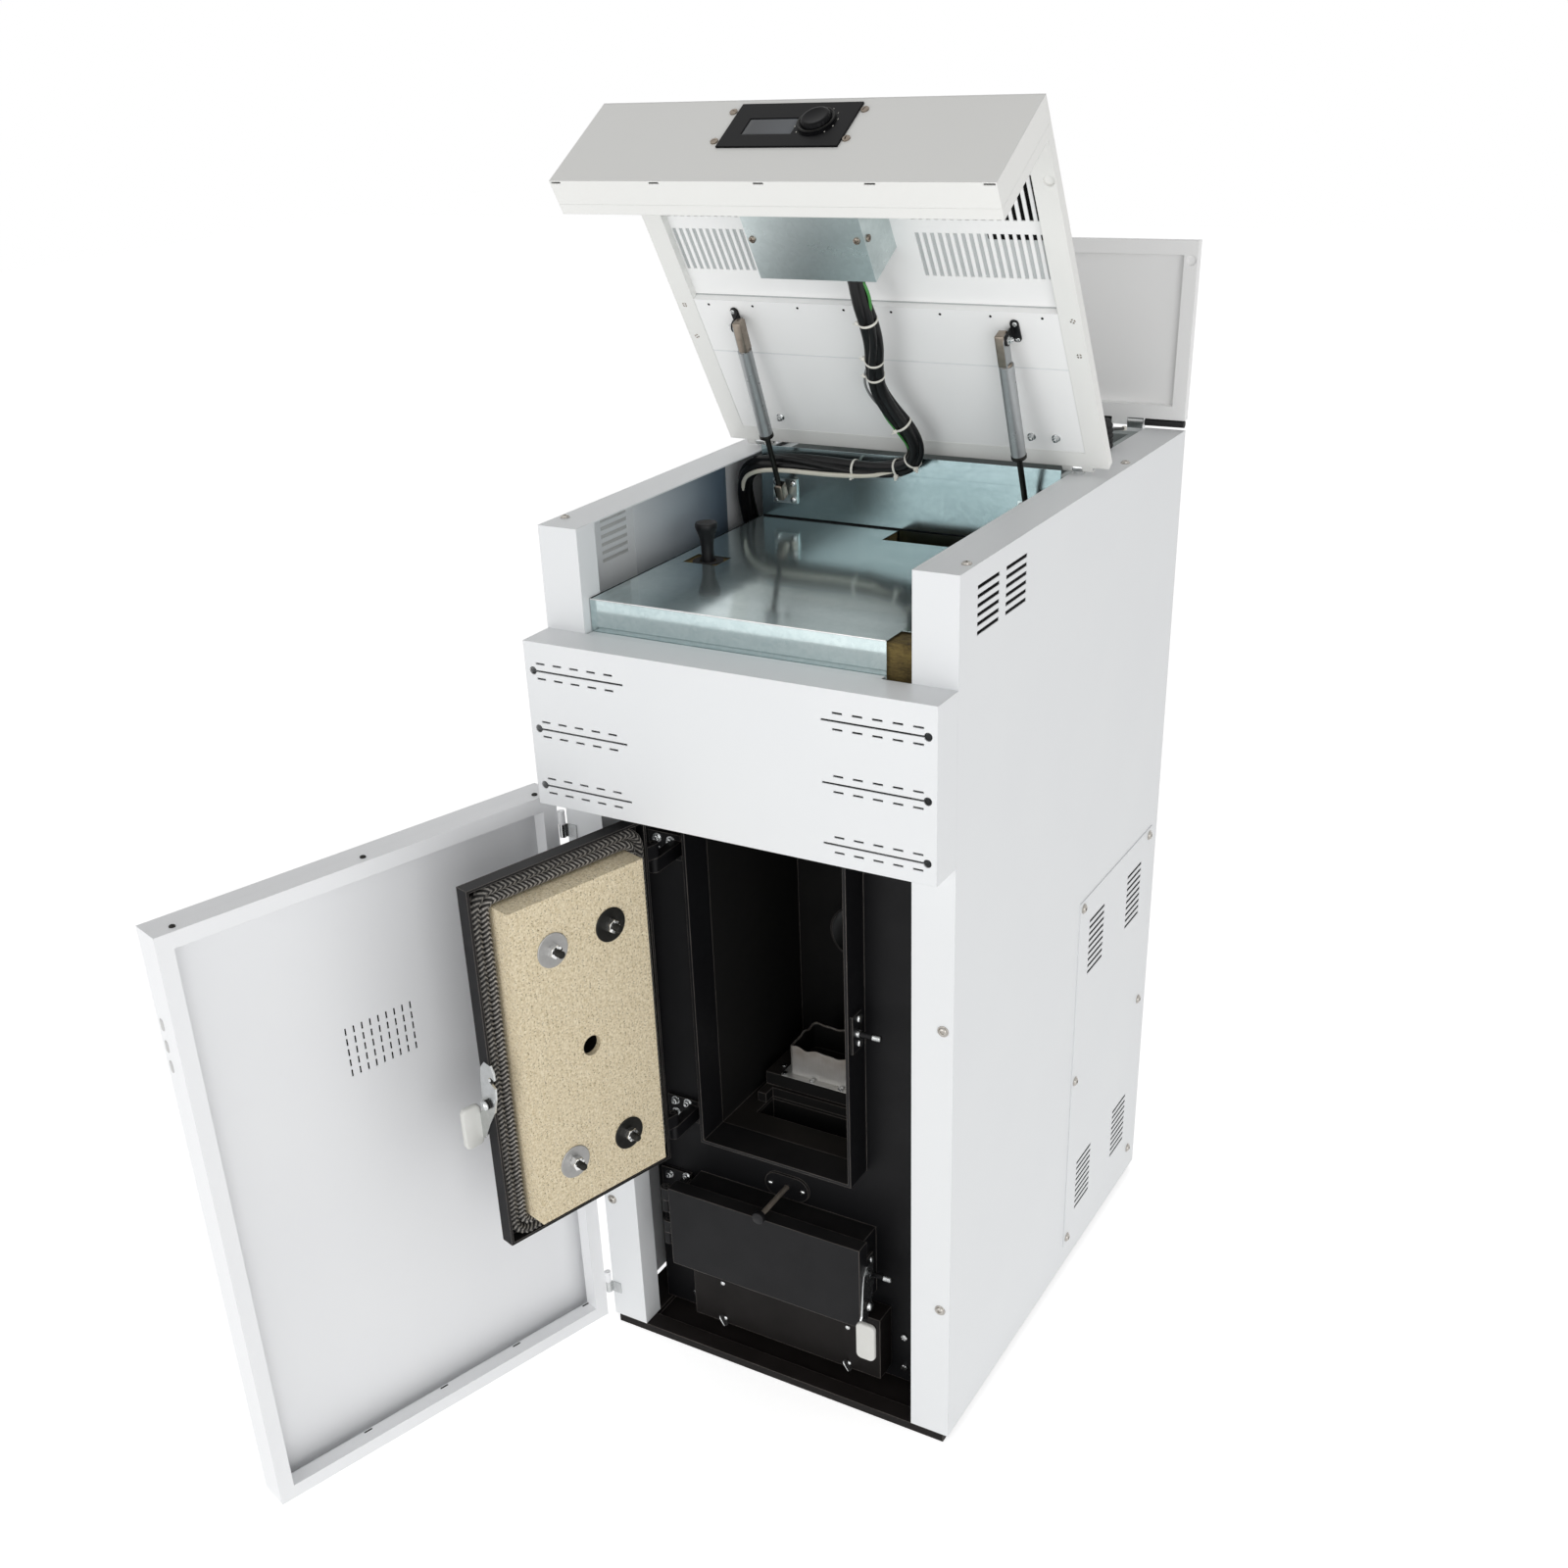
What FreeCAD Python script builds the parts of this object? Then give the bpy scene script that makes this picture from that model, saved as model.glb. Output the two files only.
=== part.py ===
"""Compact pellet boiler: cabinet, boiler body, feed, flue, doors and lids, as separate pieces.

Frame: +Z up, origin on the floor at the middle of the cabinet's footprint, front towards -Y.
Depths are given from the front face of the corner pillars ("front"), heights from the floor.
Doors and lids are drawn shut and then swung about their hinges to the open angles in the sheet.
"""
import FreeCAD, Part
import math
import os
import re

from FreeCAD import Rotation, Vector

SIZES = {
    # cabinet
    "cabinet_width": 600, "cabinet_depth": 795, "cabinet_height": 1326,
    "plinth_height": 14, "plinth_inset": 8, "plinth_floor": 6, "ledge_depth": 30, "tray_rear": 30,
    "sheet_gauge": 2, "pillar_width": 61, "pillar_return": 41, "flange_width": 61,
    # slots in the sheet metal
    "side_vent_start": 50, "side_vent_length": 64, "side_vent_step": 84,
    "vent_height": 5, "vent_pitch": 11.2, "side_vent_drop": 26,
    "cover_rear": 27, "cover_length": 317, "cover_bottom": 53, "cover_height": 644, "cover_gauge": 1.5,
    "cover_lap": 20, "cover_vent_start": 42, "cover_vent_step": 167, "cover_vent_length": 64,
    "cover_vent_low": 52, "cover_vent_high": 503,
    # fixed upper front panel
    "panel_proud": 56, "panel_drop": 139, "panel_height": 233, "panel_gauge": 2,
    "key_hole_inset": 12.5, "key_hole_radius": 5.5, "key_slot_length": 143, "key_slot_height": 2.6,
    "key_row_drop": 5.5, "key_row_pitch": 82, "dash_start": 25, "dash_pitch": 27, "dash_length": 14,
    "dash_offset": 10.5,
    # boiler body
    "plate_setback": 80, "plate_thick": 6, "plate_half": 248, "boiler_drop": 156,
    "rim_face": 30, "rim_half": 128, "rim_wall": 5, "rim_bottom": 390, "rim_drop": 38,
    "chamber_back": 345, "jacket_gap": 7, "jacket_back": 455, "jacket_bottom": 120, "jacket_wall": 4,
    "fall_half": 95, "fall_front": 128, "fall_depth": 60,
    "neck_left": 166, "neck_right": 142, "neck_bottom": 172, "neck_top": 292,
    "clean_half": 167, "clean_face": 42, "clean_bottom": 36, "clean_top": 150, "clean_wall": 3,
    "tube_radius": 25.5, "tube_wall": 3, "tube_setback": 400, "tube_bottom": 420,
    "tube_spacing": 75, "tube_inset": 52,
    "gas_way_half": 80, "gas_way_drop": 26, "gas_way_height": 70,
    # burner
    "burner_half": 105, "burner_front": 190, "burner_rear": 335, "burner_rise": 38, "step_depth": 28,
    "step_rise": 16, "pot_half": 68, "pot_front": 200, "pot_depth": 92, "pot_height": 54, "pot_wall": 3,
    # top well
    "cover_drop": 96, "cover_sheet": 1, "cover_skirt": 50, "cover_gap": 1, "cover_face": 15,
    "bulkhead_setback": 467, "bulkhead_sheet": 1.5, "bulkhead_gap": 3, "bulkhead_height": 218,
    "bulkhead_drop": 8, "bulkhead_fold": 20,
    "notch_width": 40, "notch_depth": 42, "grip_slot_gap": 21, "grip_slot_width": 55,
    "grip_slot_front": 209, "grip_slot_depth": 43, "pit_left": 8, "pit_right": 130, "pit_front": 411,
    "wool_gap": 1, "wool_face": 17,
    # exchanger cleaning grip
    "grip_inset": 27, "grip_y": 234, "grip_rod_radius": 6, "grip_rod_drop": 60, "grip_neck_radius": 10,
    "grip_head_radius": 16, "grip_height": 52, "grip_travel": 60,
    # hopper and feed
    "hopper_gap": 17, "hopper_front": 500, "hopper_rear_gap": 20, "hopper_sheet": 1.5, "hopper_taper": 300,
    "throat_rise": 7, "throat_half": 40, "throat_length": 80, "throat_land": 10,
    "auger_height": 648, "auger_radius": 45, "auger_wall": 3, "auger_mouth": 300, "feed_rear": 115,
    "screw_radius": 38, "screw_core": 9, "flight_thick": 4, "flight_lead": 20, "flight_tail": 40,
    "flight_turns": 5, "gearbox_half": 42, "gearbox_length": 44, "gearmotor_radius": 28,
    "gearmotor_length": 46, "shaft_depth": 30,
    # flue gas fan
    "fan_height": 300, "fan_radius": 95, "fan_wall": 2, "fan_front": 600, "fan_rear": 680,
    "duct_radius": 30, "fan_motor_radius": 32, "fan_motor_length": 60,
    "fan_shaft_radius": 5, "impeller_radius": 78, "impeller_disc": 3, "blade_height": 26, "blade_length": 40,
    "blade_gauge": 2, "flue_radius": 50, "flue_wall": 2, "flue_rise": 36, "flue_reach": 42,
    "flue_collar": 8, "flue_collar_thick": 2,
    # water and mains connections
    "pipe_radius": 16.85, "pipe_wall": 3.2, "pipe_inset": 42, "flow_height": 760, "return_height": 220,
    "pipe_reach": 24, "pipe_collar": 5, "pipe_collar_length": 6,
    "gland_radius": 10, "gland_bore": 4.5, "gland_x": 205, "gland_height": 520, "gland_reach": 16,
    "gland_tail": 8, "gland_nut": 13, "gland_nut_length": 5,
    # running fits and clearances
    "bush_gap": 0.05, "seat_gap": 0.3, "swing_gap": 0.5,
    # front door
    "door_gap": 4, "door_skin_depth": 25, "door_depth": 49, "door_gauge": 1.5,
    "door_frame_width": 23, "door_hinge_out": 5.4, "door_hinge_proud": 5, "door_knuckle": 5,
    "door_pin": 2.5, "door_knuckle_length": 20, "door_leaf": 16, "door_leaf_gauge": 2,
    "door_hinge_low": 60, "door_hinge_drop": 70, "door_open": 107.5,
    "grille_half": 52, "grille_columns_pitch": 13, "grille_middle": 657, "grille_row_pitch": 16.5,
    "grille_slit": 11, "grille_slit_width": 2.4,
    # chamber door
    "chamber_half": 148.5, "chamber_face": 5, "chamber_pan": 22, "chamber_floor": 4, "chamber_wall": 4,
    "chamber_lap": 18, "rope_width": 29, "rope_proud": 2.7,
    "board_half": 113, "board_inset": 35.5, "board_front": 60, "sight_radius": 15, "sight_depth": 40,
    "fixing_x": 49, "fixing_inset": 76, "stud_radius": 5, "washer_radius": 25, "washer_thick": 2,
    "nut_across": 9, "nut_height": 9, "stud_reach": 80, "chamber_hinge_x": 167, "chamber_hinge_y": 16,
    "chamber_open": 106.4, "lug_radius": 8, "lug_height": 22, "hinge_pin": 4, "hinge_foot": 55,
    "hinge_foot_gauge": 6, "hinge_foot_lap": 9, "hinge_low": 396, "hinge_drop": 70,
    # ash door
    "ash_left": 178, "ash_right": 154, "ash_face": 3, "ash_depth": 25, "ash_wall": 4, "ash_bottom": 160,
    "ash_top": 304, "ash_hinge_out": 12, "ash_hinge_y": 16, "ash_hinge_low": 190, "ash_hinge_high": 252,
    # latches
    "latch_pin_y": 48, "chamber_pin_drop": 8, "ash_pin_z": 230, "latch_pin": 4, "latch_pin_reach": 38,
    "striker_gauge": 4, "striker_front": 36, "striker_depth": 26, "striker_height": 60,
    "latch_gauge": 3, "latch_gap": 0.5, "pivot_radius": 4, "pivot_back": 30, "pivot_drop": 35,
    "pivot_head": 7, "pivot_head_thick": 4, "pad_width": 31, "pad_height": 66, "pad_thick": 9,
    "pad_drop": 45, "pad_out": 53,
    # air rod
    "air_x": 8, "air_z": 316, "air_radius": 4, "air_flange_radius": 21, "air_flange_spread": 17,
    "air_flange_thick": 4, "air_knob_radius": 10, "air_knob_thick": 8, "air_knob_front": 13, "air_inner": 150,
    # front lid
    "lid_inset": 3, "lid_gap": 1, "lid_depth": 14, "lid_gauge": 1.5, "lid_rear": 486, "lid_rail": 30,
    "lid_rear_rail": 26, "fascia_depth": 33, "fascia_back": 14, "fascia_gap": 2, "lid_hinge_y": 494,
    "lid_hinge_rise": 9, "lid_open": 59, "lid_lug_inset": 50, "lid_lug_width": 14, "lid_lug_radius": 6,
    "lid_pin": 3, "lid_block": 26, "lid_inner_gauge": 1.5, "lid_inner_drop": 2, "lid_step_y": 232,
    "lid_step_rise": 10, "lid_vent_left": 93, "lid_vent_pitch": 10.4, "lid_vent_width": 5.4,
    "lid_vent_front": 125, "lid_vent_length": 64, "lid_vent_front_two": 44, "lid_vent_length_two": 62,
    "edge_slot_pitch": 144, "edge_slot_length": 14, "edge_slot_height": 2.4,
    # electrics and controller
    "box_left": 103, "box_right": 63, "box_front": 54, "box_length": 93, "box_drop": 66,
    "unit_left": 86, "unit_right": 77, "unit_drop": 76, "unit_height": 80, "unit_thick": 2.5,
    "screen_left": 62, "screen_right": 6, "screen_drop": 54, "screen_height": 30, "screen_recess": 1.5,
    "knob_x": 31, "knob_drop": 32, "knob_radius": 19, "knob_height": 8, "knob_shaft": 3,
    "knob_stem": 12, "knob_ring": 24, "knob_ring_height": 3,
    # gas springs
    "strut_inset": 105, "strut_low_y": 452, "strut_low_drop": 55, "strut_eye_y": 260, "strut_eye_drop": 17,
    "strut_pin": 4, "strut_eye_half": 5, "strut_eye_radius": 8, "strut_rod": 4, "strut_tube": 10,
    "strut_fork": 36, "strut_tube_length": 138, "strut_cap": 14, "strut_rod_inside": 40,
    "strut_ear": 3, "strut_foot": 20, "strut_foot_gauge": 3, "strut_foot_height": 36,
    "lid_foot_width": 12, "lid_foot_half": 17,
    # hopper lid
    "hopper_lid_front": 546, "hopper_lid_frame": 20, "hopper_hinge_out": 6, "hopper_hinge_rise": 7,
    "hopper_open": 92, "hopper_lug_x": 210, "hopper_block": 24,
    # hopper lid switch
    "switch_gap": 13, "switch_y": 642, "switch_radius": 11, "switch_height": 50, "switch_rod": 2.2,
    "switch_rod_length": 80, "switch_rod_rise": 34, "switch_rod_dip": 14,
    # wiring loom
    "loom_radius": 12,
    # screws
    "screw_head": 6, "screw_height": 3, "screw_pocket": 1, "corner_screw_inset": 12,
    "corner_screw_y": 44, "rear_screw_y": 573, "pillar_screw_inset": 15,
    "pillar_screw_low": 249, "pillar_screw_high": 715, "cover_screw_inset": 13,
}

PLACES = {
    "front": "(-cabinet_depth / 2)",
    "back": "(cabinet_depth / 2)",
    "half": "(cabinet_width / 2)",
    "inner": "(cabinet_width / 2 - sheet_gauge)",
    "well": "(cabinet_width / 2 - pillar_width)",
    "cover_edge": "(well - cover_gap)",
    "notch_left": "(cover_edge - notch_width)",
    "grip_slot_left": "(cover_edge - grip_slot_gap)",
    "grip_x": "(grip_slot_left - grip_inset)",
    "bulkhead_left": "(well - bulkhead_gap)",
    "hopper_half": "(well - hopper_gap)",
    "switch_x": "(well - switch_gap)",
    "jacket_half": "(well - jacket_gap)",
    "tube_outer_x": "(jacket_half - tube_inset)",
    "tube_inner_x": "(tube_outer_x - tube_spacing)",
    "pipe_x": "(jacket_half - pipe_inset)",
    "lid_half": "(half - lid_inset)",
    "lid_lug_x": "(half - lid_lug_inset)",
    "strut_x": "(half - strut_inset)",
    "corner_screw_x": "(half - corner_screw_inset)",
    "pillar_screw_x": "(half - pillar_screw_inset)",
    "plate": "(-cabinet_depth / 2 + plate_setback)",
    "plate_rear": "(-cabinet_depth / 2 + plate_setback + plate_thick)",
    "lid_low": "(cabinet_height + lid_gap)",
    "lid_high": "(cabinet_height + lid_gap + lid_depth)",
    "lid_inside": "(cabinet_height + lid_gap + lid_depth - lid_gauge - lid_inner_drop)",
    "bulkhead": "(-cabinet_depth / 2 + bulkhead_setback)",
    "door_face": "(-cabinet_depth / 2 - panel_proud)",
    "side_vent_top": "(cabinet_height - side_vent_drop)",
    "cover_front": "(cabinet_depth - cover_rear - cover_length)",
    "panel_top": "(cabinet_height - panel_drop)",
    "panel_bottom": "(panel_top - panel_height)",
    "key_row_middle": "((panel_top + panel_bottom) / 2 - key_row_drop)",
    "boiler_top": "(cabinet_height - boiler_drop)",
    "cover_top": "(cabinet_height - cover_drop)",
    "bulkhead_top": "(cabinet_height - bulkhead_drop)",
    "bulkhead_bottom": "(bulkhead_top - bulkhead_height)",
    "door_bottom": "plinth_height",
    "door_top": "(panel_bottom - door_gap)",
    "door_hinge_high": "(door_top - door_hinge_drop)",
    "rim_top": "(panel_bottom - rim_drop)",
    "gas_way_top": "(rim_top - gas_way_drop)",
    "gas_way_bottom": "(gas_way_top - gas_way_height)",
    "chamber_bottom": "(rim_bottom - chamber_lap)",
    "chamber_top": "(rim_top + chamber_lap)",
    "chamber_mid": "((chamber_bottom + chamber_top) / 2)",
    "board_height": "(chamber_top - chamber_bottom - 2 * board_inset)",
    "fixing_z": "(board_height / 2 - fixing_inset)",
    "chamber_pin_z": "(chamber_mid - chamber_pin_drop)",
    "hinge_high": "(rim_top - hinge_drop)",
    "hopper_rear": "(cabinet_depth - hopper_rear_gap)",
    "hopper_throat": "(auger_height + auger_radius + throat_rise)",
    "hopper_waist": "(hopper_throat + hopper_taper)",
    "auger_end": "(cabinet_depth - feed_rear)",
    "throat_rear": "(auger_end - throat_land)",
    "throat_front": "(throat_rear - throat_length)",
    "flight_start": "(auger_mouth + flight_lead)",
    "screw_pitch": "((auger_end - flight_tail - flight_start) / flight_turns)",
    "duct_drop": "(fan_motor_radius + duct_radius + fan_wall)",
    "lid_hinge_z": "(cabinet_height + lid_hinge_rise)",
    "hopper_hinge_z": "(cabinet_height + hopper_hinge_rise)",
    "unit_low": "(cabinet_height - unit_drop)",
    "screen_low": "(cabinet_height - screen_drop)",
    "knob_z": "(cabinet_height - knob_drop)",
    "strut_low_z": "(cabinet_height - strut_low_drop)",
    "strut_eye_z": "(cabinet_height - strut_eye_drop)",
}

WORD = re.compile(r"[A-Za-z_][A-Za-z_0-9]*")
doc = FreeCAD.newDocument("pellet_boiler")
nodes = []


def make_sheet():
    """The driving dimensions, one named cell each."""
    sheet = doc.addObject("Spreadsheet::Sheet", "sizes")
    for row, (name, value) in enumerate(SIZES.items(), 1):
        sheet.set(f"A{row}", name)
        sheet.set(f"B{row}", str(value))
        sheet.setAlias(f"B{row}", name)
    doc.recompute()
    return sheet


sheet = make_sheet()


def full(text):
    """An expression with place names written out and sizes read from the sheet."""
    text = str(text)
    while any(word in PLACES for word in WORD.findall(text)):
        text = WORD.sub(lambda m: PLACES.get(m.group(), m.group()), text)
    return WORD.sub(lambda m: f"sizes.{m.group()}" if m.group() in SIZES else m.group(), text)


def number(text):
    """The value of a plain arithmetic expression of sizes, read from the sheet."""
    return float(sheet.evalExpression(full(text)))


def bind(piece, prop, text):
    piece.setExpression(prop, full(text))


def side(sign, low, high):
    """A span across X on the right (sign 1) or mirrored to the left (sign -1)."""
    return (low, high) if sign > 0 else (f"-({high})", f"-({low})")


def box(x, y, z):
    """A block between two expressions on each axis."""
    block = doc.addObject("Part::Box", "block")
    for axis, size, (low, high) in zip("xyz", ("Length", "Width", "Height"), (x, y, z)):
        bind(block, size, f"({high}) - ({low})")
        bind(block, f"Placement.Base.{axis}", low)
    return block


AXIS_TURN = {"x": Rotation(Vector(0, 1, 0), 90), "y": Rotation(Vector(1, 0, 0), -90), "z": Rotation()}


def bar(axis, radius, span, at):
    """A round bar along one axis over a span, at two places on the other axes in XYZ order."""
    low, high = span
    rod = doc.addObject("Part::Cylinder", "bar")
    rod.Placement = FreeCAD.Placement(Vector(), AXIS_TURN[axis])
    bind(rod, "Radius", radius)
    bind(rod, "Height", f"({high}) - ({low})")
    places = list(at)
    places.insert("xyz".index(axis), low)
    for name, place in zip("xyz", places):
        bind(rod, f"Placement.Base.{name}", place)
    return rod


def fuse(*pieces):
    joined = doc.addObject("Part::MultiFuse", "joined")
    joined.Shapes = list(pieces)
    joined.Refine = True
    return joined


def group(*pieces):
    together = doc.addObject("Part::Compound", "group")
    together.Links = list(pieces)
    return together


def cut(base, *tools):
    left = doc.addObject("Part::Cut", "cut")
    left.Base = base
    left.Tool = tools[0] if len(tools) == 1 else group(*tools)
    return left


def shell(x, y, z, wall, opened):
    """A sheet box whose walls lie inside the given spans, left open on the named sides."""
    spans = []
    for name, (low, high) in zip("xyz", (x, y, z)):
        start = low if f"-{name}" in opened else f"({low}) + {wall}"
        stop = high if f"+{name}" in opened else f"({high}) - {wall}"
        spans.append((start, stop))
    return cut(box(x, y, z), box(*spans))


def tube(axis, radius, wall, span, at):
    return cut(bar(axis, radius, span, at), bar(axis, f"{radius} - {wall}", span, at))


def hinge(axis, at, angle):
    """A hinge line along X or Z through two places, and the angle its door rests at."""
    return axis, at, angle


def swing(piece, axis, at, angle):
    """Turn a finished piece about a hinge line by binding its placement."""
    turn = f"(({angle}) * 1deg)"
    first, second = at
    names = {"x": "yz", "z": "xy"}[axis]
    piece.Placement = FreeCAD.Placement(Vector(), Rotation(Vector(axis == "x", 0, axis == "z"), 1))
    bind(piece, "Placement.Rotation.Angle", angle)
    moved = (f"({first}) * cos{turn} - ({second}) * sin{turn}",
             f"({first}) * sin{turn} + ({second}) * cos{turn}")
    for name, place, image in zip(names, at, moved):
        bind(piece, f"Placement.Base.{name}", f"({place}) - ({image})")


def node(label, piece, turned=None):
    """Give a finished sub-part its name and, if it hangs on a hinge, its open position."""
    if piece.TypeId in ("Part::Box", "Part::Cylinder"):
        piece = group(piece)
    piece.Label = label
    if turned:
        swing(piece, *turned)
    nodes.append(piece)


def profile(points, axis_low, axis_high):
    """A flat plate cut to an outline in the YZ plane, between two places along X."""
    places = [Vector(number(axis_low), y, z) for y, z in points]
    face = Part.Face(Part.makePolygon(places + places[:1]))
    return face.extrude(Vector(number(axis_high) - number(axis_low), 0, 0))


def set_shape(name, shape):
    feature = doc.addObject("Part::Feature", name)
    feature.Shape = shape
    return feature


def slots(count, pitch, first):
    """Spans of equal slots up the Z axis from the first one's lower edge."""
    return [(f"{first} + {i} * {pitch}", f"{first} + {i} * {pitch} + vent_height") for i in range(count)]


SIDE_SLOTS, COVER_SLOTS = 6, 9


def side_panel(sign, opening):
    """A folded side: skin, pillar front, pillar return and top flange, with two louvre groups."""
    skin = box(side(sign, "inner", "half"), ("front", "back"), ("plinth_height", "cabinet_height"))
    face = box(side(sign, "well", "half"), ("front", "front + sheet_gauge"),
               ("plinth_height", "cabinet_height"))
    fold = box(side(sign, "well", "well + sheet_gauge"), ("front", "front + pillar_return"),
               ("plinth_height", "cabinet_height"))
    flange = box(side(sign, "half - flange_width", "half"), ("front", "back"),
                 ("cabinet_height - sheet_gauge", "cabinet_height"))
    through = side(sign, "inner - sheet_gauge", "half + sheet_gauge")
    holes = []
    for column in range(2):
        start = f"front + side_vent_start + {column} * side_vent_step"
        for rows in slots(SIDE_SLOTS, "-vent_pitch", "side_vent_top - vent_height"):
            holes.append(box(through, (start, f"{start} + side_vent_length"), rows))
    if opening:
        holes.append(box(through,
                         ("front + cover_front + cover_lap", "front + cover_front + cover_length - cover_lap"),
                         ("cover_bottom + cover_lap", "cover_bottom + cover_height - cover_lap")))
    return cut(fuse(skin, face, fold, flange), *holes)


def front_panel():
    """The fixed upper front: a shallow box with keyed hanging slots for the trim."""
    outer = shell(("-half", "half"), ("door_face", "front"), ("panel_bottom", "panel_top"),
                  "panel_gauge", ("+y",))
    through = ("door_face - panel_gauge", "door_face + 2 * panel_gauge")
    holes = []
    for sign in (-1, 1):
        for row in (-1, 0, 1):
            level = f"key_row_middle + {row} * key_row_pitch"
            centre = f"{sign} * (half - key_hole_inset)"
            hole = bar("y", "key_hole_radius", through, (centre, level))
            slot = box(side(sign, "half - key_hole_inset - key_slot_length", "half - key_hole_inset"),
                       through, (f"{level} - key_slot_height / 2", f"{level} + key_slot_height / 2"))
            holes.append(fuse(hole, slot))
            for mark in range(5):
                middle = f"half - dash_start - {mark} * dash_pitch"
                across = side(sign, f"{middle} - dash_length / 2", f"{middle} + dash_length / 2")
                for way in (-1, 1):
                    at = f"{level} + {way} * dash_offset"
                    holes.append(box(across, through,
                                     (f"{at} - key_slot_height / 2", f"{at} + key_slot_height / 2")))
    return cut(outer, *holes)


def access_cover():
    """The screwed-on service cover low on the right side, with four louvre groups."""
    plate = box(("half", "half + cover_gauge"), ("front + cover_front", "front + cover_front + cover_length"),
                ("cover_bottom", "cover_bottom + cover_height"))
    holes = []
    for column in range(2):
        start = f"front + cover_front + cover_vent_start + {column} * cover_vent_step"
        for low in ("cover_vent_low", "cover_vent_high"):
            for rows in slots(COVER_SLOTS, "vent_pitch", f"cover_bottom + {low}"):
                holes.append(box(("half - cover_gauge", "half + 2 * cover_gauge"),
                                 (start, f"{start} + cover_vent_length"), rows))
    return cut(plate, *holes)


def rear_panel():
    plate = box(("-inner", "inner"), ("back - sheet_gauge", "back"),
                ("plinth_height", "cabinet_height - sheet_gauge"))
    through = ("back - 2 * sheet_gauge", "back + sheet_gauge")
    holes = [bar("y", "flue_radius + seat_gap", through, ("0", "fan_height + flue_rise")),
             bar("y", "gland_radius + bush_gap", through, ("gland_x", "gland_height"))]
    for level in ("flow_height", "return_height"):
        holes.append(bar("y", "pipe_radius + seat_gap", through, ("-pipe_x", level)))
    return cut(plate, *holes)


def plinth():
    slab = box(("-half + plinth_inset", "half - plinth_inset"), ("front", "back - plinth_inset"),
               ("0", "plinth_height"))
    return cut(slab, box(("-well", "well"), ("front + ledge_depth", "back - tray_rear"),
                         ("plinth_floor", "plinth_height")))


def cabinet():
    node("base_plinth", plinth())
    node("left_side_panel", side_panel(-1, False))
    node("right_side_panel", side_panel(1, True))
    node("rear_panel", rear_panel())
    node("front_panel", front_panel())
    node("access_cover", access_cover())


def boiler_front():
    """The black front plate with the chamber rim, the ash neck and the air rod's guide."""
    inside_x = ("-rim_half + rim_wall", "rim_half - rim_wall")
    inside_z = ("rim_bottom + rim_wall", "rim_top - rim_wall")
    neck_x = ("-neck_left + rim_wall", "neck_right - rim_wall")
    neck_z = ("neck_bottom + rim_wall", "neck_top - rim_wall")
    flange = ("plate - air_flange_thick", "plate")
    whole = fuse(box(("-plate_half", "plate_half"), ("plate", "plate_rear"), ("plinth_height", "boiler_top")),
                 box(("-rim_half", "rim_half"), ("front + rim_face", "plate"), ("rim_bottom", "rim_top")),
                 box(("-neck_left", "neck_right"), ("front + rim_face", "plate"),
                     ("neck_bottom", "neck_top")),
                 box(("-air_x - air_flange_spread", "-air_x + air_flange_spread"), flange,
                     ("air_z - air_flange_radius", "air_z + air_flange_radius")),
                 *[bar("y", "air_flange_radius", flange, (f"-air_x + {way} * air_flange_spread", "air_z"))
                   for way in (-1, 1)])
    deep = ("front + rim_face", "plate_rear")
    return cut(whole, box(inside_x, deep, inside_z), box(neck_x, deep, neck_z),
               bar("y", "air_radius + bush_gap", ("plate - air_flange_thick", "plate_rear"),
                   ("-air_x", "air_z")))


def chamber_box():
    """The combustion chamber behind the rim, with its floor open over the ash fall."""
    whole = shell(("-rim_half", "rim_half"), ("plate_rear", "front + chamber_back"),
                  ("rim_bottom", "rim_top"),
                  "rim_wall", ("-y",))
    rear = ("front + chamber_back - 2 * rim_wall", "front + chamber_back + rim_wall")
    gas_way = box(("-gas_way_half", "gas_way_half"), rear, ("gas_way_bottom", "gas_way_top"))
    feed_hole = bar("y", "auger_radius + seat_gap", rear, ("0", "auger_height"))
    way_down = box(*FALL_INSIDE, ("rim_bottom - rim_wall", "rim_bottom + 2 * rim_wall"))
    return cut(whole, gas_way, feed_hole, way_down)


FALL_INSIDE = (("-fall_half + rim_wall", "fall_half - rim_wall"),
               ("front + fall_front + rim_wall", "front + fall_front + fall_depth - rim_wall"))


def ash_box():
    """The ash box behind the lower neck, with the fall that leads into it and a hole for the air rod."""
    bin_shell = shell(("-neck_left", "neck_right"), ("plate_rear", "front + chamber_back"),
                      ("neck_bottom", "neck_top"), "rim_wall", ("-y",))
    fall = box(("-fall_half", "fall_half"), ("front + fall_front", "front + fall_front + fall_depth"),
               ("neck_top - rim_wall", "rim_bottom"))
    way = box(*FALL_INSIDE, ("neck_top - 2 * rim_wall", "rim_bottom"))
    rod_hole = bar("y", "air_radius + seat_gap",
                   ("front + fall_front - rim_wall", "front + fall_front + 2 * rim_wall"), ("-air_x",
                                                                                            "air_z"))
    return cut(fuse(bin_shell, fall), way, rod_hole)


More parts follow.
